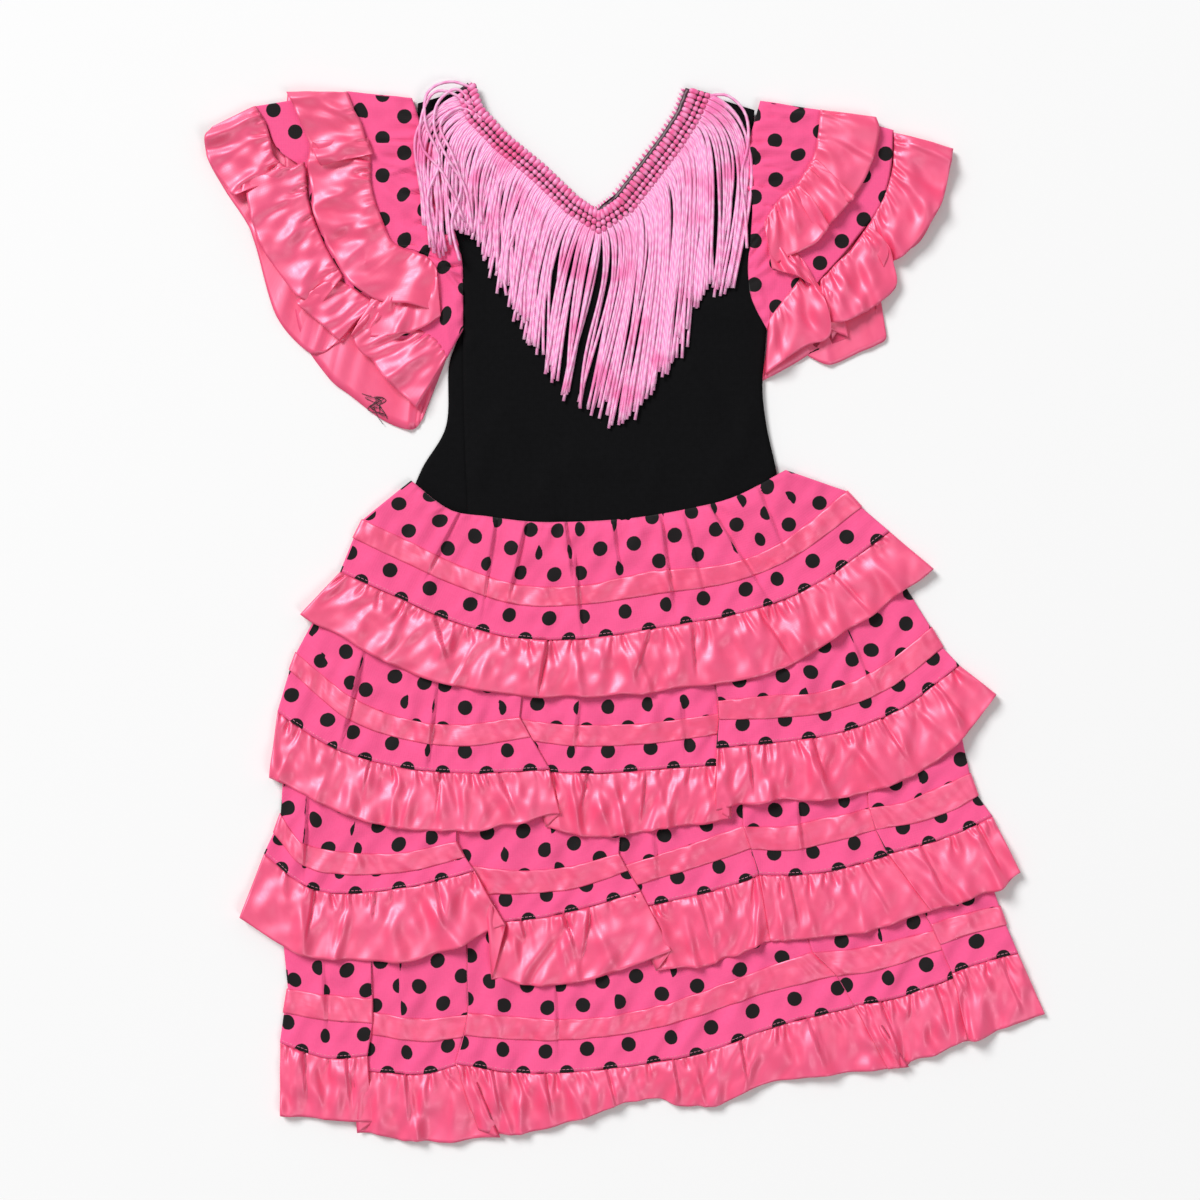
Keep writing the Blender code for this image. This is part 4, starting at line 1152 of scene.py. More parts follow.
def true_cloth(front, owners, creases, every=0.0):
    """Measures on the cloth of a front (rows up from its edge, columns): across it and up it.

    Between two creases the cloth lies flat and true, and what the gathers take up is hidden in the crease.
    Where every is given, the cloth is eased in at that spacing instead.
    """
    across = np.zeros(front.shape[:2])
    up = np.zeros(front.shape[:2])
    begun = 0.0
    for owner in range(owners.max() + 1):
        own = np.where(owners == owner)[0]
        part = front[:, own]
        along = np.gradient(part, axis=1)
        along = along / np.maximum(np.linalg.norm(along, axis=2, keepdims=True), 1e-6)
        run = np.linalg.norm(np.diff(part, axis=1), axis=2)
        run = np.hstack([np.zeros((len(part), 1)), np.cumsum(run, axis=1)])
        climb = np.diff(part, axis=0)
        slip = (climb * along[:-1]).sum(axis=2)
        rise = along[:-1, :, 0] * climb[..., 1] - along[:-1, :, 1] * climb[..., 0]
        slipped = np.vstack([np.zeros(part.shape[1]), np.cumsum(slip, axis=0)])
        up[:, own] = np.vstack([np.zeros(part.shape[1]), np.cumsum(rise, axis=0)])
        cuts = []
        for crease in creases:
            place, away = beside(part[..., 0], part[..., 1], crease)
            away = np.maximum.accumulate(away, axis=1)
            crossed = np.array([np.interp(0.0, a, r) for a, r in zip(away, run)])
            seen = np.array([np.interp(0.0, a, p) for a, p in zip(away, place)])
            row = np.argmin(np.abs(seen - 0.5))
            if away[row, 0] < 0 < away[row, -1]:
                band = CUT_BAND + FADED_BAND * (1 - crease_fade(seen))
                cuts.append((crossed[row] / run[row, -1], crossed, band, crease[6]))
        if every:
            steps = int(run[0, -1] / every)
            band = np.full(len(run), EASED_BAND)
            cuts = [(k / steps, run[:, -1] * k / steps, band, 0.0) for k in range(1, steps)]
        cuts.sort(key=lambda one: one[0])
        ends = [0.0] + [one[0] for one in cuts] + [1.0]
        last = part.shape[1] - 1
        centres = [round((a + b) / 2 * last) for a, b in zip(ends, ends[1:])]
        offset = run[0, centres] + slipped[:, centres] - run[:, centres]
        cloth = run + offset[:, :1]
        for k, (_, crossed, band, taken) in enumerate(cuts):
            jump = offset[:, k + 1] - offset[:, k] + taken
            cloth += jump[:, None] * smooth((run - crossed[:, None]) / band[:, None], -1.0, 1.0)
        across[:, own] = begun + cloth
        begun += run[0, -1] + STRETCH_APART
    return across, up


def tier(number, stretches, cotton, satin, ribbon, thread):
    """A dotted tier with its ribbon, its gathered frill and the thread that holds the frill."""
    above = number > 1
    creases = TIER_CREASES[number - 1]
    plan, lift, owners = front_columns(stretches, 5, TIER_ACROSS, 6)
    down, places = rows_down(plan, slice(0, 4), TIER_DOWN)
    # Places down a tier are 0 at its top, 1 and 2 at the ribbon's edges and 3 at its lower edge
    first = TIER_TOP if above else WAIST_TOP
    second = first + (0.2 if above else 0.9)
    heights = [first, second, RIBBON_BED, RIBBON_BED, TIER_BELLY, TIER_EDGE]
    level = np.interp(places, [0, 0.25, 1, 2, 2.6, 3], heights)
    # A stretch that lies on another is lifted, a little less at its top
    share = smooth(places, 0.2, 0.9) * 0.3 + 0.7
    rise = creased(down[..., 0], down[..., 1], creases)
    flat = np.ones_like(down[..., 0])
    below = measured(down[len(down) // 2])[None, :] * flat
    if not above:
        s = measured(plan[:, 0:2])
        rise += gathered(s[:, None] * flat, below, gathers(77, s[-1], *WAIST_GATHERS))
    # These belong to places on the plan, so the layers of a fold never cross
    x = down[..., 0] - down[..., 0].min()
    rise += gathered(x, below + 20.0, gathers(60 + number, x.max(), *TIER_GATHERS))
    rise += billowed(x, -down[..., 1], 500 + number, *TIER_SWELLS)
    rise = propped(rise, TIER_PROP)
    # The seam of the frill holds the lower edge smoother
    calm = 1 - 0.45 * smooth(places, 2.4, 3.0)
    if above:
        # The frill above presses the tier's top flat
        calm = calm * (0.25 + 0.75 * smooth(places, 0.35, 0.8))
    front_z = level[None, :] + lift[:, None] * share[None, :] + rise * calm[None, :]
    # Rows run from the lower edge up, so that the cloth's outside faces out
    front = down.transpose(1, 0, 2)[::-1]
    front_z = front_z.T[::-1]
    back = back_of(front, BACK_ACROSS)
    beds = [BACK_BED, BACK_BED - 0.1, BACK_BED - 0.1, UNDERSIDE + BACK_HEM]
    bed = np.interp(places, [0, 1, 2, 3], beds)[::-1]
    back_z = np.repeat(bed[:, None], back.shape[1], axis=1)
    around, heights = fold_round(front, front_z, back, back_z, TIER_BULGE)
    across, up = cloth_round(front, owners, creases, back, around)
    piece = sewn_tube(f"dotted_tier_{number}", around, heights, across, up, COTTON_WALL, cotton)
    round_length = measured(around[0])[-1]
    rests_on = ["floor"] if number == len(TIERS) else [f"gathered_frill_{number}"]
    laid_flat(piece, round_length, up.max(), "laid", rests_on, "polka_dot_cloth", f"skirt_tier_{number}")
    ribbon_on(number, front, front_z, back, back_z, places[::-1], ribbon)
    frill_of(number, stretches, satin)
    seam_thread(number, front, front_z, thread)


def cloth_round(front, owners, creases, back, around):
    """Cloth measures of a whole round: its front, the turn at each side fold and its plain back."""
    across = np.zeros(around.shape[:2])
    up = np.zeros(around.shape[:2])
    count = front.shape[1]
    across[:, :count], up[:, :count] = true_cloth(front, owners, creases)
    behind, behind_up = true_cloth(back, np.zeros(back.shape[1], int), (), every=BACK_EASE)
    start = count + TURN_COLUMNS
    end = start + back.shape[1]
    across[:, start:end], up[:, start:end] = behind, -behind_up
    for k in range(TURN_COLUMNS):
        on = TURN_STEP * (k + 1)
        across[:, count + k], up[:, count + k] = across[:, count - 1] + on, up[:, count - 1]
        across[:, end + k], up[:, end + k] = behind[:, -1] + on, -behind_up[:, -1]
    across[:, -1], up[:, -1] = behind[:, -1] + TURN_END, -behind_up[:, -1]
    return across, up


def measured_round(around, edge):
    """Cloth measures of a ribbon or a frill: round it, as along one edge, and up from its lower edge."""
    across = np.repeat(measured(around[edge])[None, :], around.shape[0], axis=0)
    steps = np.linalg.norm(np.diff(around, axis=0), axis=2)
    up = np.vstack([np.zeros(around.shape[1]), np.cumsum(steps, axis=0)])
    return across, up


def ribbon_on(number, front, front_z, back, back_z, places, material):
    """Satin ribbon sewn flat on a tier, just above the tier's own surface."""
    rows = np.where((places >= 0.999) & (places <= 2.001))[0]
    fine = np.linspace(rows[0], rows[-1], 2 * (len(rows) - 1) + 1)
    low = np.minimum(fine.astype(int), rows[-1] - 1)
    part = (fine - low)[:, None]

    def between(values):
        mix = part if values.ndim == 2 else part[..., None]
        return values[low] * (1 - mix) + values[low + 1] * mix

    plan, level = between(front), between(front_z)
    # Where the cloth folds back its outside faces down, and so does the ribbon on it
    run, climb = np.gradient(plan, axis=1), np.gradient(plan, axis=0)
    facing = np.sign(run[..., 0] * climb[..., 1] - run[..., 1] * climb[..., 0])
    v = np.linspace(-1, 1, len(fine))[:, None]
    pull = measured(plan[0])[None, :]
    relief = billowed(pull + 0 * level, v * RIBBON_HALF + 0 * level, 400 + number, *RIBBON_SWELLS)
    for k, height in enumerate(RIBBON_FURROWS):
        wander = 0.55 * np.sin(pull / (37.0 + 9 * k) + 2.1 * k + number) + 0.25 * np.sin(pull / 9.0 + k)
        strength = np.clip(np.sin(pull / (23.0 + 5 * k) + 1.3 * k), 0, 1)
        relief = relief - height * strength * np.exp(-(((v - wander) * RIBBON_HALF / 0.6) ** 2))
    proud = RIBBON_WALL + RIBBON_PROUD - RIBBON_EDGE * np.abs(v) ** 4
    proud = proud + np.clip(relief, -0.34, 0.8) * (1 - v**6)
    level = level + facing * proud
    under, under_z = between(back), between(back_z) - RIBBON_WALL - 0.25
    around, heights = fold_round(plan, level, under, under_z, RIBBON_BULGE)
    across, up = measured_round(around, 0)
    piece = sewn_tube(f"satin_ribbon_{number}", around, heights, across, up, RIBBON_WALL, material)
    rests_on = [f"dotted_tier_{number}"]
    wide = up.max(axis=0).mean()
    laid_flat(piece, across[0, -1], wide, "laid", rests_on, "satin_ribbon", f"ribbon_{number}")


def frill_of(number, stretches, material):
    """A gathered satin frill, which comes out from under the tier's lower edge."""
    only = tuple(tuple(row[6:] for row in stretch) for stretch in stretches)
    plan, lift, _ = front_columns(only, 2, FRILL_ACROSS, 0)
    last = number == len(TIERS)
    levels = (FRILL_START, FRILL_MIDDLE, FRILL_HEM)
    if last:
        levels = (FRILL_START, FRILL_MIDDLE - LAST_FRILL_SAG, LAST_FRILL_HEM)
    rests_on = ["floor"] if last else [f"dotted_tier_{number + 1}"]
    nodes = [f"ruffle_{number}"]
    name, creases = f"gathered_frill_{number}", FRILL_CREASES[number - 1]
    frill_cloth(name, plan, lift, 200 + number, levels, None, material, nodes, rests_on, creases)


def waved(s, t, reach, seed):
    """The broad folds of a frill's cloth, which grow toward the hem and lean to one side or the other."""
    rng = np.random.RandomState(seed)
    rise = np.zeros_like(s)
    at = -10.0
    while at < s.max() + 10:
        at += rng.uniform(*FOLD_APART)
        size = rng.uniform(*FOLD_HIGH)
        first, last = rng.uniform(2.0, 4.0), rng.uniform(3.5, 8.5)
        lean = rng.uniform(-FOLD_LEAN, FOLD_LEAN) * reach
        steep = rng.uniform(0.45, 1.0)
        d = s - at - lean * t
        spread = first + (last - first) * t
        side = np.where(d * lean > 0, spread * steep, spread)
        rise += size * smooth(t, 0.02, rng.uniform(0.35, 0.9)) * np.exp(-((d / side) ** 2))
    return rise


def frill_back(front, back_lines, seed, reach):
    """The plain back of a frill, pressed flat. On a sleeve it runs between lines of its own."""
    if back_lines is None:
        back = back_of(front, BACK_ACROSS / 2)
    else:
        top, hem, bed = back_lines
        count = max(8, round(measured(hem)[-1] / (BACK_ACROSS / 2)))
        top, hem = spline(top, np.linspace(0, 1, count)), spline(hem, np.linspace(0, 1, count))
        share = np.linspace(0, 1, len(front))[:, None, None]
        back = hem[None] * (1 - share) + top[None] * share
    along = measured(back[-1])
    pleats = gathers(seed + 7, along[-1], *FRILL_BACK_GATHERS, reach * 1.2)
    s = along[None, :] + 0 * back[..., 0]
    depth = np.linspace(reach, 0, back.shape[0])[:, None] + 0 * back[..., 0]
    level = UNDERSIDE + gathered(s, depth, pleats)
    if back_lines is not None:
        t = depth / reach
        level += bed * smooth(t, 0.1, 0.6)
        # The back of a sleeve's frill shows beside the sleeve, in broad soft folds
        level += 0.4 * waved(s, t, reach, seed + 70) * smooth(t, 0.3, 0.9)
    return back, level


def frill_cloth(name, plan, lift, seed, levels, back_lines, material, nodes, rests_on, creases=()):
    """The cloth of a frill: sharp small ridges at the stitching, broad folds at the hem."""
    down, places = rows_down(plan, slice(0, 2), FRILL_DOWN)
    # A skirt frill's relief belongs to places on the plan, so the layers of a fold never cross
    along = plan[:, 0] - plan[:, 0].min() if back_lines is None else measured(plan[:, 0:2])
    s = along[:, None] + 0 * down[..., 0]
    drop = np.linalg.norm(down - down[:, :1], axis=2)
    reach = drop[:, -1].mean()
    t = drop / np.maximum(drop[:, -1:], 1)
    rise = gathered(s, drop, gathers(seed, s.max(), *FRILL_GATHERS, reach))
    rise += puckered(s, drop, seed + 20)
    rise += waved(s, t, reach, seed + 50)
    slack = smooth(t, 0.0, 0.25)
    rise += slack * billowed(s, drop, seed + 90, *FRILL_SWELLS)
    rise += creased(down[..., 0], down[..., 1], creases)
    rise = propped(rise, FRILL_PROP)
    start, middle, hem = levels
    level = np.interp(places, [0, 0.25, 0.5, 1], [start, start + 0.8, middle, hem])
    front_z = level[None, :] + lift[:, None] + rise
    # The hem wanders in and out of its line
    sway = 0.9 * np.sin(s / 9.0 + 3 * np.sin(s / 31.0 + seed)) * t**2
    way = down[:, -1] - down[:, 0]
    way = way / np.maximum(np.linalg.norm(way, axis=1, keepdims=True), 1)
    down = down + way[:, None, :] * sway[..., None]
    front = down.transpose(1, 0, 2)[::-1]
    front_z = front_z.T[::-1]
    back, back_z = frill_back(front, back_lines, seed, reach)
    around, heights = fold_round(front, front_z, back, back_z, FRILL_BULGE)
    across, up = measured_round(around, -1)
    piece = sewn_tube(name, around, heights, across, up, SATIN_WALL, material)
    # A frill's width is taken midway between its stitching and its hem
    width = (measured(around[-1])[-1] + measured(around[0])[-1]) / 2
    laid_flat(piece, width, up.max(axis=0).mean(), "gathered", rests_on, "satin_frill", *nodes)


def corded(form, path, radius, sides, flatness):
    """A cord along a path of points in millimetres, drawn as a rolled grid; its radius may vary along it."""
    path = np.asarray(path, float)
    radius = np.broadcast_to(radius, len(path))
    ahead = np.gradient(path, axis=0)
    ahead = ahead / np.linalg.norm(ahead, axis=1, keepdims=True)
    side = np.cross(ahead, (0, 0, 1.0))
    side = side / np.maximum(np.linalg.norm(side, axis=1, keepdims=True), 1e-6)
    up = np.cross(side, ahead)
    made = bmesh.ops.create_grid(form, x_segments=sides, y_segments=len(path) - 1, size=0.5)
    angle = np.linspace(0, 2 * math.pi, sides + 1)
    for i, vert in enumerate(made["verts"]):
        row, column = divmod(i, sides + 1)
        ring = side[row] * math.cos(angle[column]) - up[row] * math.sin(angle[column]) * flatness
        vert.co = (path[row] + ring * radius[row] - MIDDLE) * MM
    return measured(path)


def cord_piece(name, paths, radius, sides, material, flatness=1.0):
    """Many cords of a few sides each as one piece, closed at their ends."""
    form = bmesh.new()
    uv = form.loops.layers.uv.new("cloth")
    places = []
    for k, path in enumerate(paths):
        along = corded(form, path, radius, sides, flatness) + k * TWIST_APART
        for far in along:
            places.extend((column / sides * CORD_ROUND * MM, far * MM) for column in range(sides + 1))
    form.verts.index_update()
    for face in form.faces:
        for loop in face.loops:
            loop[uv].uv = places[loop.vert.index]
    bmesh.ops.remove_doubles(form, verts=form.verts, dist=0.000002)
    bmesh.ops.holes_fill(form, edges=form.edges, sides=sides)
    bmesh.ops.recalc_face_normals(form, faces=form.faces)
    thing = finished(form, name, material)
    return thing


def seam_thread(number, front, front_z, material):
    """Sewing thread that dips in and out of the tier 2 mm above its lower edge."""
    step = np.linalg.norm(front[1] - front[0], axis=1)
    share = np.clip(SEAM_INSET / np.maximum(step, 0.5), 0, 1)[:, None]
    line = front[0] * (1 - share) + front[1] * share
    level = front_z[0] * (1 - share[:, 0]) + front_z[1] * share[:, 0]
    far = measured(line)
    goal = np.arange(0, far[-1], SEAM_STEP)
    x = np.interp(goal, far, line[:, 0])
    y = np.interp(goal, far, line[:, 1])
    z = np.interp(goal, far, level)
    dip = np.where(np.arange(len(goal)) % STITCH_STEPS == 0, STITCH_DIP, STITCH_RISE)
    path = np.column_stack([x, y, z + dip])
    cord_piece(f"frill_seam_thread_{number}", [path], SEAM_RADIUS, 3, material)


def half_panel(form, table, side, level_of):
    """Half of a bodice panel from the middle line to the armhole or side."""
    rows = np.array(table, float)
    inner = rows[:, 0:2] if side < 0 else rows[:, 5:7]
    outer = rows[:, 2:4] if side < 0 else rows[:, 7:9]
    sag = rows[:, 4] if side < 0 else rows[:, 9]
    lines = np.column_stack([inner, outer, sag])
    length = measured((rows[:, 2:4] + rows[:, 7:9]) / 2)
    fine = []
    for i in range(len(rows) - 1):
        steps = max(2, round((length[i + 1] - length[i]) / JERSEY_STEP))
        fine.extend((i + np.arange(steps) / steps) / (len(rows) - 1))
    fine.append(1.0)
    values = spline(lines, fine)[::-1]
    places = np.array(fine)[::-1] * (len(rows) - 1)
    share = np.linspace(0, 1, HALF_PANEL_COLUMNS + 1)
    plan = values[:, None, 0:2] * (1 - share[None, :, None]) + values[:, None, 2:4] * share[None, :, None]
    plan[..., 1] -= 4 * values[:, None, 4] * (share * (1 - share))[None, :]
    # The two halves are one cloth below the point of the V
    plan[places >= V_POINT_ROW, 0, 0] = (rows[V_POINT_ROW:, 0].mean() + rows[V_POINT_ROW:, 5].mean()) / 2
    x, y = plan[..., 0], plan[..., 1]
    heights = level_of(x, y, places[:, None] + 0 * x, share[None, :] + 0 * x)
    if side < 0:
        plan, heights = plan[:, ::-1], heights[:, ::-1]
    count, columns = heights.shape
    made = bmesh.ops.create_grid(form, x_segments=columns - 1, y_segments=count - 1, size=0.5)
    points = (np.dstack([plan, heights]).reshape(-1, 3) - MIDDLE) * MM
    for vert, point in zip(made["verts"], points):
        vert.co = point


def bodice_panel(name, table, level_of, material):
    """A jersey panel of two halves sewn into one cloth, and its area. Its ribs run up the dress."""
    form = bmesh.new()
    uv = form.loops.layers.uv.new("cloth")
    for side in (-1, 1):
        half_panel(form, table, side, level_of)
    bmesh.ops.remove_doubles(form, verts=form.verts, dist=0.00006)
    for face in form.faces:
        for loop in face.loops:
            loop[uv].uv = loop.vert.co.xy
    area = sum(face.calc_area() for face in form.faces)
    thing = finished(form, name, material)
    walled(thing, JERSEY_WALL)
    return thing, area


def bodice(material):
    """The bodice: a front that lies on a back. Both are pressed flat toward their seams."""

    def front_level(x, y, row, share):
        rise = creased(x, y, JERSEY_CREASES)
        edge = smooth(share, 0.9, 1.0) * (row > 6)
        return FRONT_OF_BODICE + rise - 0.9 * edge + 0.25 * np.sin(x / 31.0 + y / 43.0)

    def back_level(x, y, row, share):
        return 0.56 + 1.35 * (1 - smooth(row, 4.8, 6.0)) + 0 * x

    front, area = bodice_panel("jersey_front", BODICE_FRONT, front_level, material)
    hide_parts("bodice_front")
    back, area = bodice_panel("jersey_back", BODICE_BACK, back_level, material)
    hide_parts("bodice_back")


def straight_line(table, shares):
    """A table's values at places from 0 to 1 along it, on straight lines, so that a point stays sharp."""
    rows = np.array(table, float)
    places = np.linspace(0, 1, len(rows))
    return np.column_stack([np.interp(shares, places, rows[:, i]) for i in range(rows.shape[1])])


def heading(name, table, level, side, rows, shade_ground, node):
    """The braid of a fringe: a dark sheet, painted shade for the gaps between the bars, under thick bars of
    doubled cord, square to it in rows.
    """
    values = straight_line(table, np.linspace(0, 1, HEADING_POINTS))
    tape = np.linspace(0, 1, TAPE_POINTS)
    plan = values[None, :, 0:2] * (1 - tape[:, None, None]) + values[None, :, 2:4] * tape[:, None, None]
    heights = level + 0 * plan[..., 0]
    s = measured((values[:, 0:2] + values[:, 2:4]) / 2)
    across = np.repeat(s[None, :], TAPE_POINTS, axis=0)
    down = np.repeat((tape * HEADING_DEPTH)[:, None], len(s), axis=1)
    # Rows run from the fringe side to the neck side, so that the outside faces up
    piece = sewn_tube(name, plan[::-1], heights, across, down, HEADING_WALL, shade_ground, closed=False)
    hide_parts(node)
    bars = []
    count = int(s[-1] / LOOP_PITCH)
    arch = np.array(LOOP_ARCH)
    for k in range(count):
        at = (k + 0.5) / count * s[-1]
        line = np.array([np.interp(at, s, values[:, i]) for i in range(4)])
        for near, far in rows:
            place = np.linspace(near, far, len(arch))[:, None]
            points = line[0:2] * (1 - place) + line[2:4] * place
            bars.append(np.column_stack([points, level + side * (LOOP_LEVEL + arch)]))
    return piece, bars, s[-1]


def strand_roots():
    """Where each strand leaves the heading: three or four to a bar, so dark gaps stay between the bunches."""
    shares = np.linspace(0, 1, HEADING_POINTS)
    values = straight_line(HEADING, shares)
    s = measured((values[:, 0:2] + values[:, 2:4]) / 2)
    count = int(s[-1] / LOOP_PITCH)
    places = []
    for k in range(count):
        here = 4 if k % 2 else 3
        spread = (np.arange(here) - (here - 1) / 2) * STRANDS_A_LOOP * (3 / here)
        places.extend((k + 0.5) / count * s[-1] + spread)
    return np.interp(places, s, shares)


def strand_lines(rng):
    """Each strand as it lies: it leaves the heading square to it and curves down, in uneven bunches."""
    ends = np.array(STRAND_ENDS)
    bunches = np.sort(rng.uniform(0, 1, BUNCHES))
    lines = []
    for share in strand_roots()[: STRANDS - len(STRAYS)]:
        edge = straight_line(HEADING, [share])[0][2:4]
        ahead, behind = spline(HEADING, [min(share + 0.004, 1), max(share - 0.004, 0)])[:, 2:4]
        along = (ahead - behind) / np.linalg.norm(ahead - behind)
        out = np.array((along[1], -along[0]))
        root = edge - out
        # It aims at its own place among the ends, drawn a little to its bunch
        bunch = bunches[np.argmin(np.abs(bunches - share))]
        aim = share * (1 - BUNCH_PULL) + bunch * BUNCH_PULL + rng.normal(0, 0.009)
        goal = np.array((np.interp(aim, ends[:, 0], ends[:, 1]), np.interp(aim, ends[:, 0], ends[:, 2])))
        goal = goal + (rng.normal(0, 2.2), 1.5 + rng.exponential(4.5) - rng.uniform(0, 4.0))
        # Near the shoulders it reaches further out before it turns down
        shoulder = smooth(abs(share - 0.5), 0.36, 0.5)
        reach = (19 + 23 * shoulder) * (0.8 + 0.35 * np.sin(bunch * 57.0) ** 2 + rng.normal(0, 0.03))
        first = root + out * reach
        drop = first[1] - goal[1]
        second = np.array((goal[0] * 0.45 + first[0] * 0.55, first[1] - 0.42 * drop))
        t = np.linspace(0, 1, STRAND_POINTS)[:, None]
        line = (1 - t) ** 3 * root + 3 * t * (1 - t) ** 2 * first + 3 * t**2 * (1 - t) * second + t**3 * goal
        # A slow bend, which grows toward its end
        bend = math.pi * rng.uniform(1.2, 2.6)
        line[:, 0] += rng.normal(0, 1.8) * np.sin(t[:, 0] * bend + rng.uniform(0, 3)) * t[:, 0]
        lines.append(line)
    return lines


def fringe(cord, tape, shade_ground):
    """The front's fringe, with its strands on the bodice and over the sleeve, and the back's heading."""
    rng = np.random.RandomState(5)
    mouth = np.array(LEFT_MOUTH[::-1], float)
    lines = strand_lines(rng)
    hanging = len(lines)
    lines.extend(spline(stray, np.linspace(0, 1, 30)) for stray in STRAYS)
    paths = []
    for k, line in enumerate(lines):
        t = np.linspace(0, 1, len(line))
        beyond = line[:, 0] - np.interp(line[:, 1], mouth[:, 1], mouth[:, 0])
        over_sleeve = 1 - smooth(beyond, 2.0, 14.0)
        layer = 2.6 if k >= hanging else rng.uniform(0, 1.9)
        z = STRAND_LEVEL + OVER_SLEEVE * over_sleeve + layer * np.minimum(1, 3.0 * t)
        paths.append(np.column_stack([line, z]))
    front, bars, length = heading(
        "fringe_heading", HEADING, HEADING_LEVEL, 1, LOOP_ROWS, shade_ground, "fringe_front"
    )
    strands = cord_piece("fringe_strands", paths, STRAND_RADIUS, 4, cord, 0.75)
    looped = cord_piece("fringe_loops", bars, LOOP_RADIUS, 6, tape, 0.6)
    # The back's braid lies on the outside of the back, so its bars face down
    back, bars, length = heading(
        "back_fringe_heading", BACK_HEADING, BACK_HEADING_LEVEL, -1, BACK_LOOP_ROWS, shade_ground, "fringe_back"
    )
    small = [radius * 0.5 for radius in LOOP_RADIUS]
    looped = cord_piece("back_fringe_loops", bars, small, 6, tape, 0.6)


def sleeve(side, mouth, inner, outer, frills, backs, cotton, satin):
    """A dotted puff sleeve pressed flat, with its two frills."""
    lines = [np.array(line, float) for line in (mouth, inner, outer)]
    length = measured(lines[0])[-1]
    count = round(length / SLEEVE_ACROSS)
    columns = np.hstack([spline(line, np.linspace(0, 1, count + 1)) for line in lines])
    down, places = rows_down(columns, slice(0, 3), SLEEVE_ACROSS)
    # Places down a sleeve are 0 at the bodice, 1 at the inner frill's stitching and 2 at the outer frill's
    level = np.interp(places, [0, 0.25, 1, 2], SLEEVE_LEVELS)
    rise = creased(down[..., 0], down[..., 1], SLEEVE_CREASES[side])
    s = measured(columns[:, 0:2])[:, None] + 0 * down[..., 0]
    drop = np.linalg.norm(down - down[:, :1], axis=2)
    rise += billowed(s, drop, 520, *SLEEVE_SWELLS)
    puff = gathers(31 if side == "left" else 32, s.max(), *SLEEVE_GATHERS)
    calm = 1 - smooth(places, 0.75, 0.95)[None, :]
    rise = rise + gathered(s, drop, puff)
    # The highest folds are pressed down by their own weight, and on the right by the frill that lies on them
    limit, give = SLEEVE_LIMIT[side]
    rise = np.where(rise > limit, limit + give * (rise - limit), rise)
    front_z = level[None, :] + rise * calm
    front = down.transpose(1, 0, 2)[::-1]
    front_z = front_z.T[::-1]
    if side == "right":
        # The outside faces up when the columns run from the lower fold to the upper one on this side
        front, front_z = front[:, ::-1], front_z[:, ::-1]
    back = front[:, ::-1][:, :: max(1, round(BACK_ACROSS / SLEEVE_ACROSS))]
    back = np.concatenate([back, front[:, :1]], axis=1)
    bed = np.interp(places, [0, 1, 2], [SLEEVE_BACK, BACK_BED, BACK_BED])[::-1]
    back_z = bed[:, None] + 0 * back[..., 0]
    around, heights = fold_round(front, front_z, back, back_z, SLEEVE_BULGE)
    middle = around.shape[0] * 2 // 3
    s_round = measured(around[middle])
    # The dots of a sleeve stand straight on the cloth as it lies
    across, from_edge = around[..., 0] * 1.0, around[..., 1] * 1.0
    slip = tucked_cloth(front[..., 0], front[..., 1], SLEEVE_CREASES[side])
    across[:, : front.shape[1]] += slip[..., 0]
    from_edge[:, : front.shape[1]] += slip[..., 1]
    piece = sewn_tube(f"dotted_sleeve_{side}", around, heights, across, from_edge, COTTON_WALL, cotton)
    depth = np.linalg.norm(np.diff(around, axis=0), axis=2).sum(axis=0).mean()
    laid_flat(piece, s_round[-1], depth, "laid", ["jersey_back"], "polka_dot_cloth", f"sleeve_{side}")
    sleeve_frills(side, frills, lines[1:], backs, satin)


def sleeve_frills(side, frills, tops, backs, satin):
    """A sleeve's inner and outer frills, each with its plain back between lines of its own."""
    parts = zip(("inner", "outer"), frills, tops, backs, SLEEVE_FRILL_LEVELS, (300, 310))
    for name, path, top, hem, level, seed in parts:
        length = (measured(np.array(path)[:, 0:2])[-1] + measured(np.array(path)[:, 2:4])[-1]) / 2
        folded = spline(path, np.linspace(0, 1, round(length / FRILL_ACROSS)))
        plan, lift = folded[:, :4], folded[:, 4]
        top = np.array(top, float)[::-1]
        hem = np.array(hem, float)[::-1]
        if side == "right":
            plan, lift, top, hem = plan[::-1], lift[::-1], top[::-1], hem[::-1]
        frill_cloth(
            f"sleeve_{side}_{name}_frill",
            plan,
            lift,
            seed + (5 if side == "left" else 0),
            level[:3],
            (top, hem, level[3]),
            satin,
            [f"sleeve_{side}_ruffle_{name}"],
            [f"dotted_sleeve_{side}"],
        )


def loose_thread(material):
    """A little tangle of black sewing thread left lying on the lower hem of the left sleeve."""
    rng = np.random.RandomState(12)
    t = np.linspace(0, 1, 90)
    turns = 2 * math.pi * 4.5 * t
    x = THREAD_MIDDLE[0] + 4.2 * np.sin(turns) * (0.5 + t) + 3.0 * np.sin(2.3 * turns + 1.0)
    y = THREAD_MIDDLE[1] + 6.5 * np.cos(0.8 * turns + 0.4) * (0.6 + 0.5 * t) - 4.0 * t
    z = THREAD_BED + 0.5 * np.sin(1.7 * turns) + 0.5
    tangle = np.column_stack([x, y, z])
    ends = []
    for x0, y0, x1, y1 in THREAD_ENDS:
        share = np.linspace(0, 1, 8)
        bend = 1.5 * np.sin(share * math.pi) * rng.uniform(-1, 1)
        x, y = x0 + (x1 - x0) * share + bend, y0 + (y1 - y0) * share
        ends.append(np.column_stack([x, y, THREAD_BED + 0.3 + 0 * share]))
    cord_piece("loose_sewing_thread", [tangle, *ends], THREAD_RADIUS, 3, material)


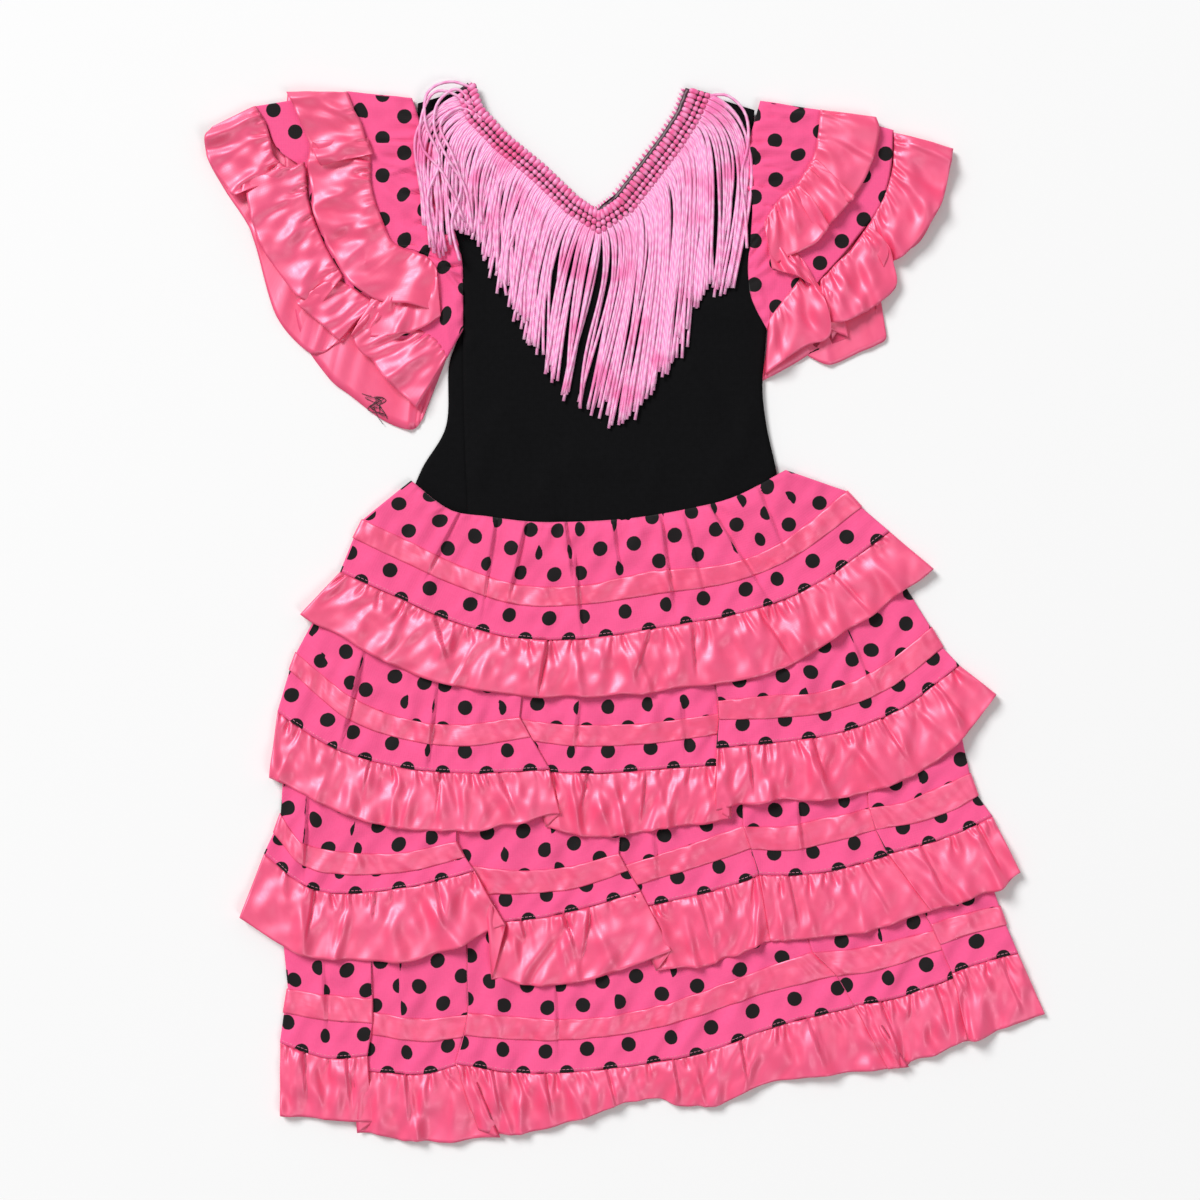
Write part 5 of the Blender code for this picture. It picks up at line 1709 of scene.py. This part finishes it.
def studio():
    """The camera looks straight down, as the photo does; the floor is a plain pale sheet."""
    data = bpy.data.cameras.new("camera")
    data.lens = LENS
    data.sensor_width = SENSOR
    camera = placed("camera", data)
    camera.location = CAMERA_PLACE
    bpy.context.scene.camera = camera
    material, _, shader = fabric("matt white paper", 0.9, 0.0, 0.2)
    shader.inputs["Base Color"].default_value = FLOOR_WHITE
    form = bmesh.new()
    bmesh.ops.create_grid(form, x_segments=4, y_segments=4, size=FLOOR_HALF)
    for vert in form.verts:
        vert.co.z = -FLOOR_DROP
    mesh = bpy.data.meshes.new("floor")
    form.to_mesh(mesh)
    form.free()
    mesh.materials.append(material)
    floor = placed("floor", mesh)
    world = bpy.data.worlds.new("studio")
    world.use_nodes = True
    room = world.node_tree.nodes["Background"]
    room.inputs["Color"].default_value = (1.0, 1.0, 1.0, 1.0)
    room.inputs["Strength"].default_value = ROOM_LIGHT
    bpy.context.scene.world = world
    for name, place, size, power in SOFTBOXES:
        light = bpy.data.lights.new(name, "AREA")
        light.shape = "SQUARE"
        light.size = size
        light.energy = power
        lamp = placed(name, light)
        lamp.location = place
        toward = -lamp.location
        lamp.rotation_mode = "QUATERNION"
        lamp.rotation_quaternion = toward.to_track_quat("-Z", "Y")
    bpy.context.scene.view_settings.view_transform = "Standard"


def dress():
    """Makes every material once, and sews the whole dress from them."""
    cotton = dotted_cotton()
    satin = satin_cloth("gathered polyester satin", (60.0, 22.0, 1.0), 0.3)
    ribbon = satin_cloth("polyester satin ribbon", (60.0, 150.0, 1.0), 0.25)
    jersey = knitted_jersey()
    cord = twisted_cord("twisted rayon fringe", FRINGE_DYE_AND_SHADING)
    tape = twisted_cord("looped rayon heading", HEADING_DYE_AND_SHADING)
    # A dark sheet under the braid, painted shade for the gaps between its bars
    shade_ground = twisted_cord("braided rayon ground", GROUND_PAINTED_SHADE)
    thread = twisted_cord("polyester sewing thread", SEAM_DYE_AND_SHADING)
    bodice(jersey)
    for number, stretches in enumerate(TIERS, start=1):
        tier(number, stretches, cotton, satin, ribbon, thread)
    left = (LEFT_INNER_FRILL, LEFT_OUTER_FRILL), (LEFT_INNER_BACK, LEFT_OUTER_BACK)
    sleeve("left", LEFT_MOUTH, LEFT_INNER, LEFT_OUTER, *left, cotton, satin)
    right = (RIGHT_INNER_FRILL, RIGHT_OUTER_FRILL), (RIGHT_INNER_BACK, RIGHT_OUTER_BACK)
    sleeve("right", RIGHT_MOUTH, RIGHT_INNER, RIGHT_OUTER, *right, cotton, satin)
    fringe(cord, tape, shade_ground)
    loose_thread(twisted_cord("black polyester sewing thread", LOOSE_DYE_AND_SHADING))


studio()
dress()
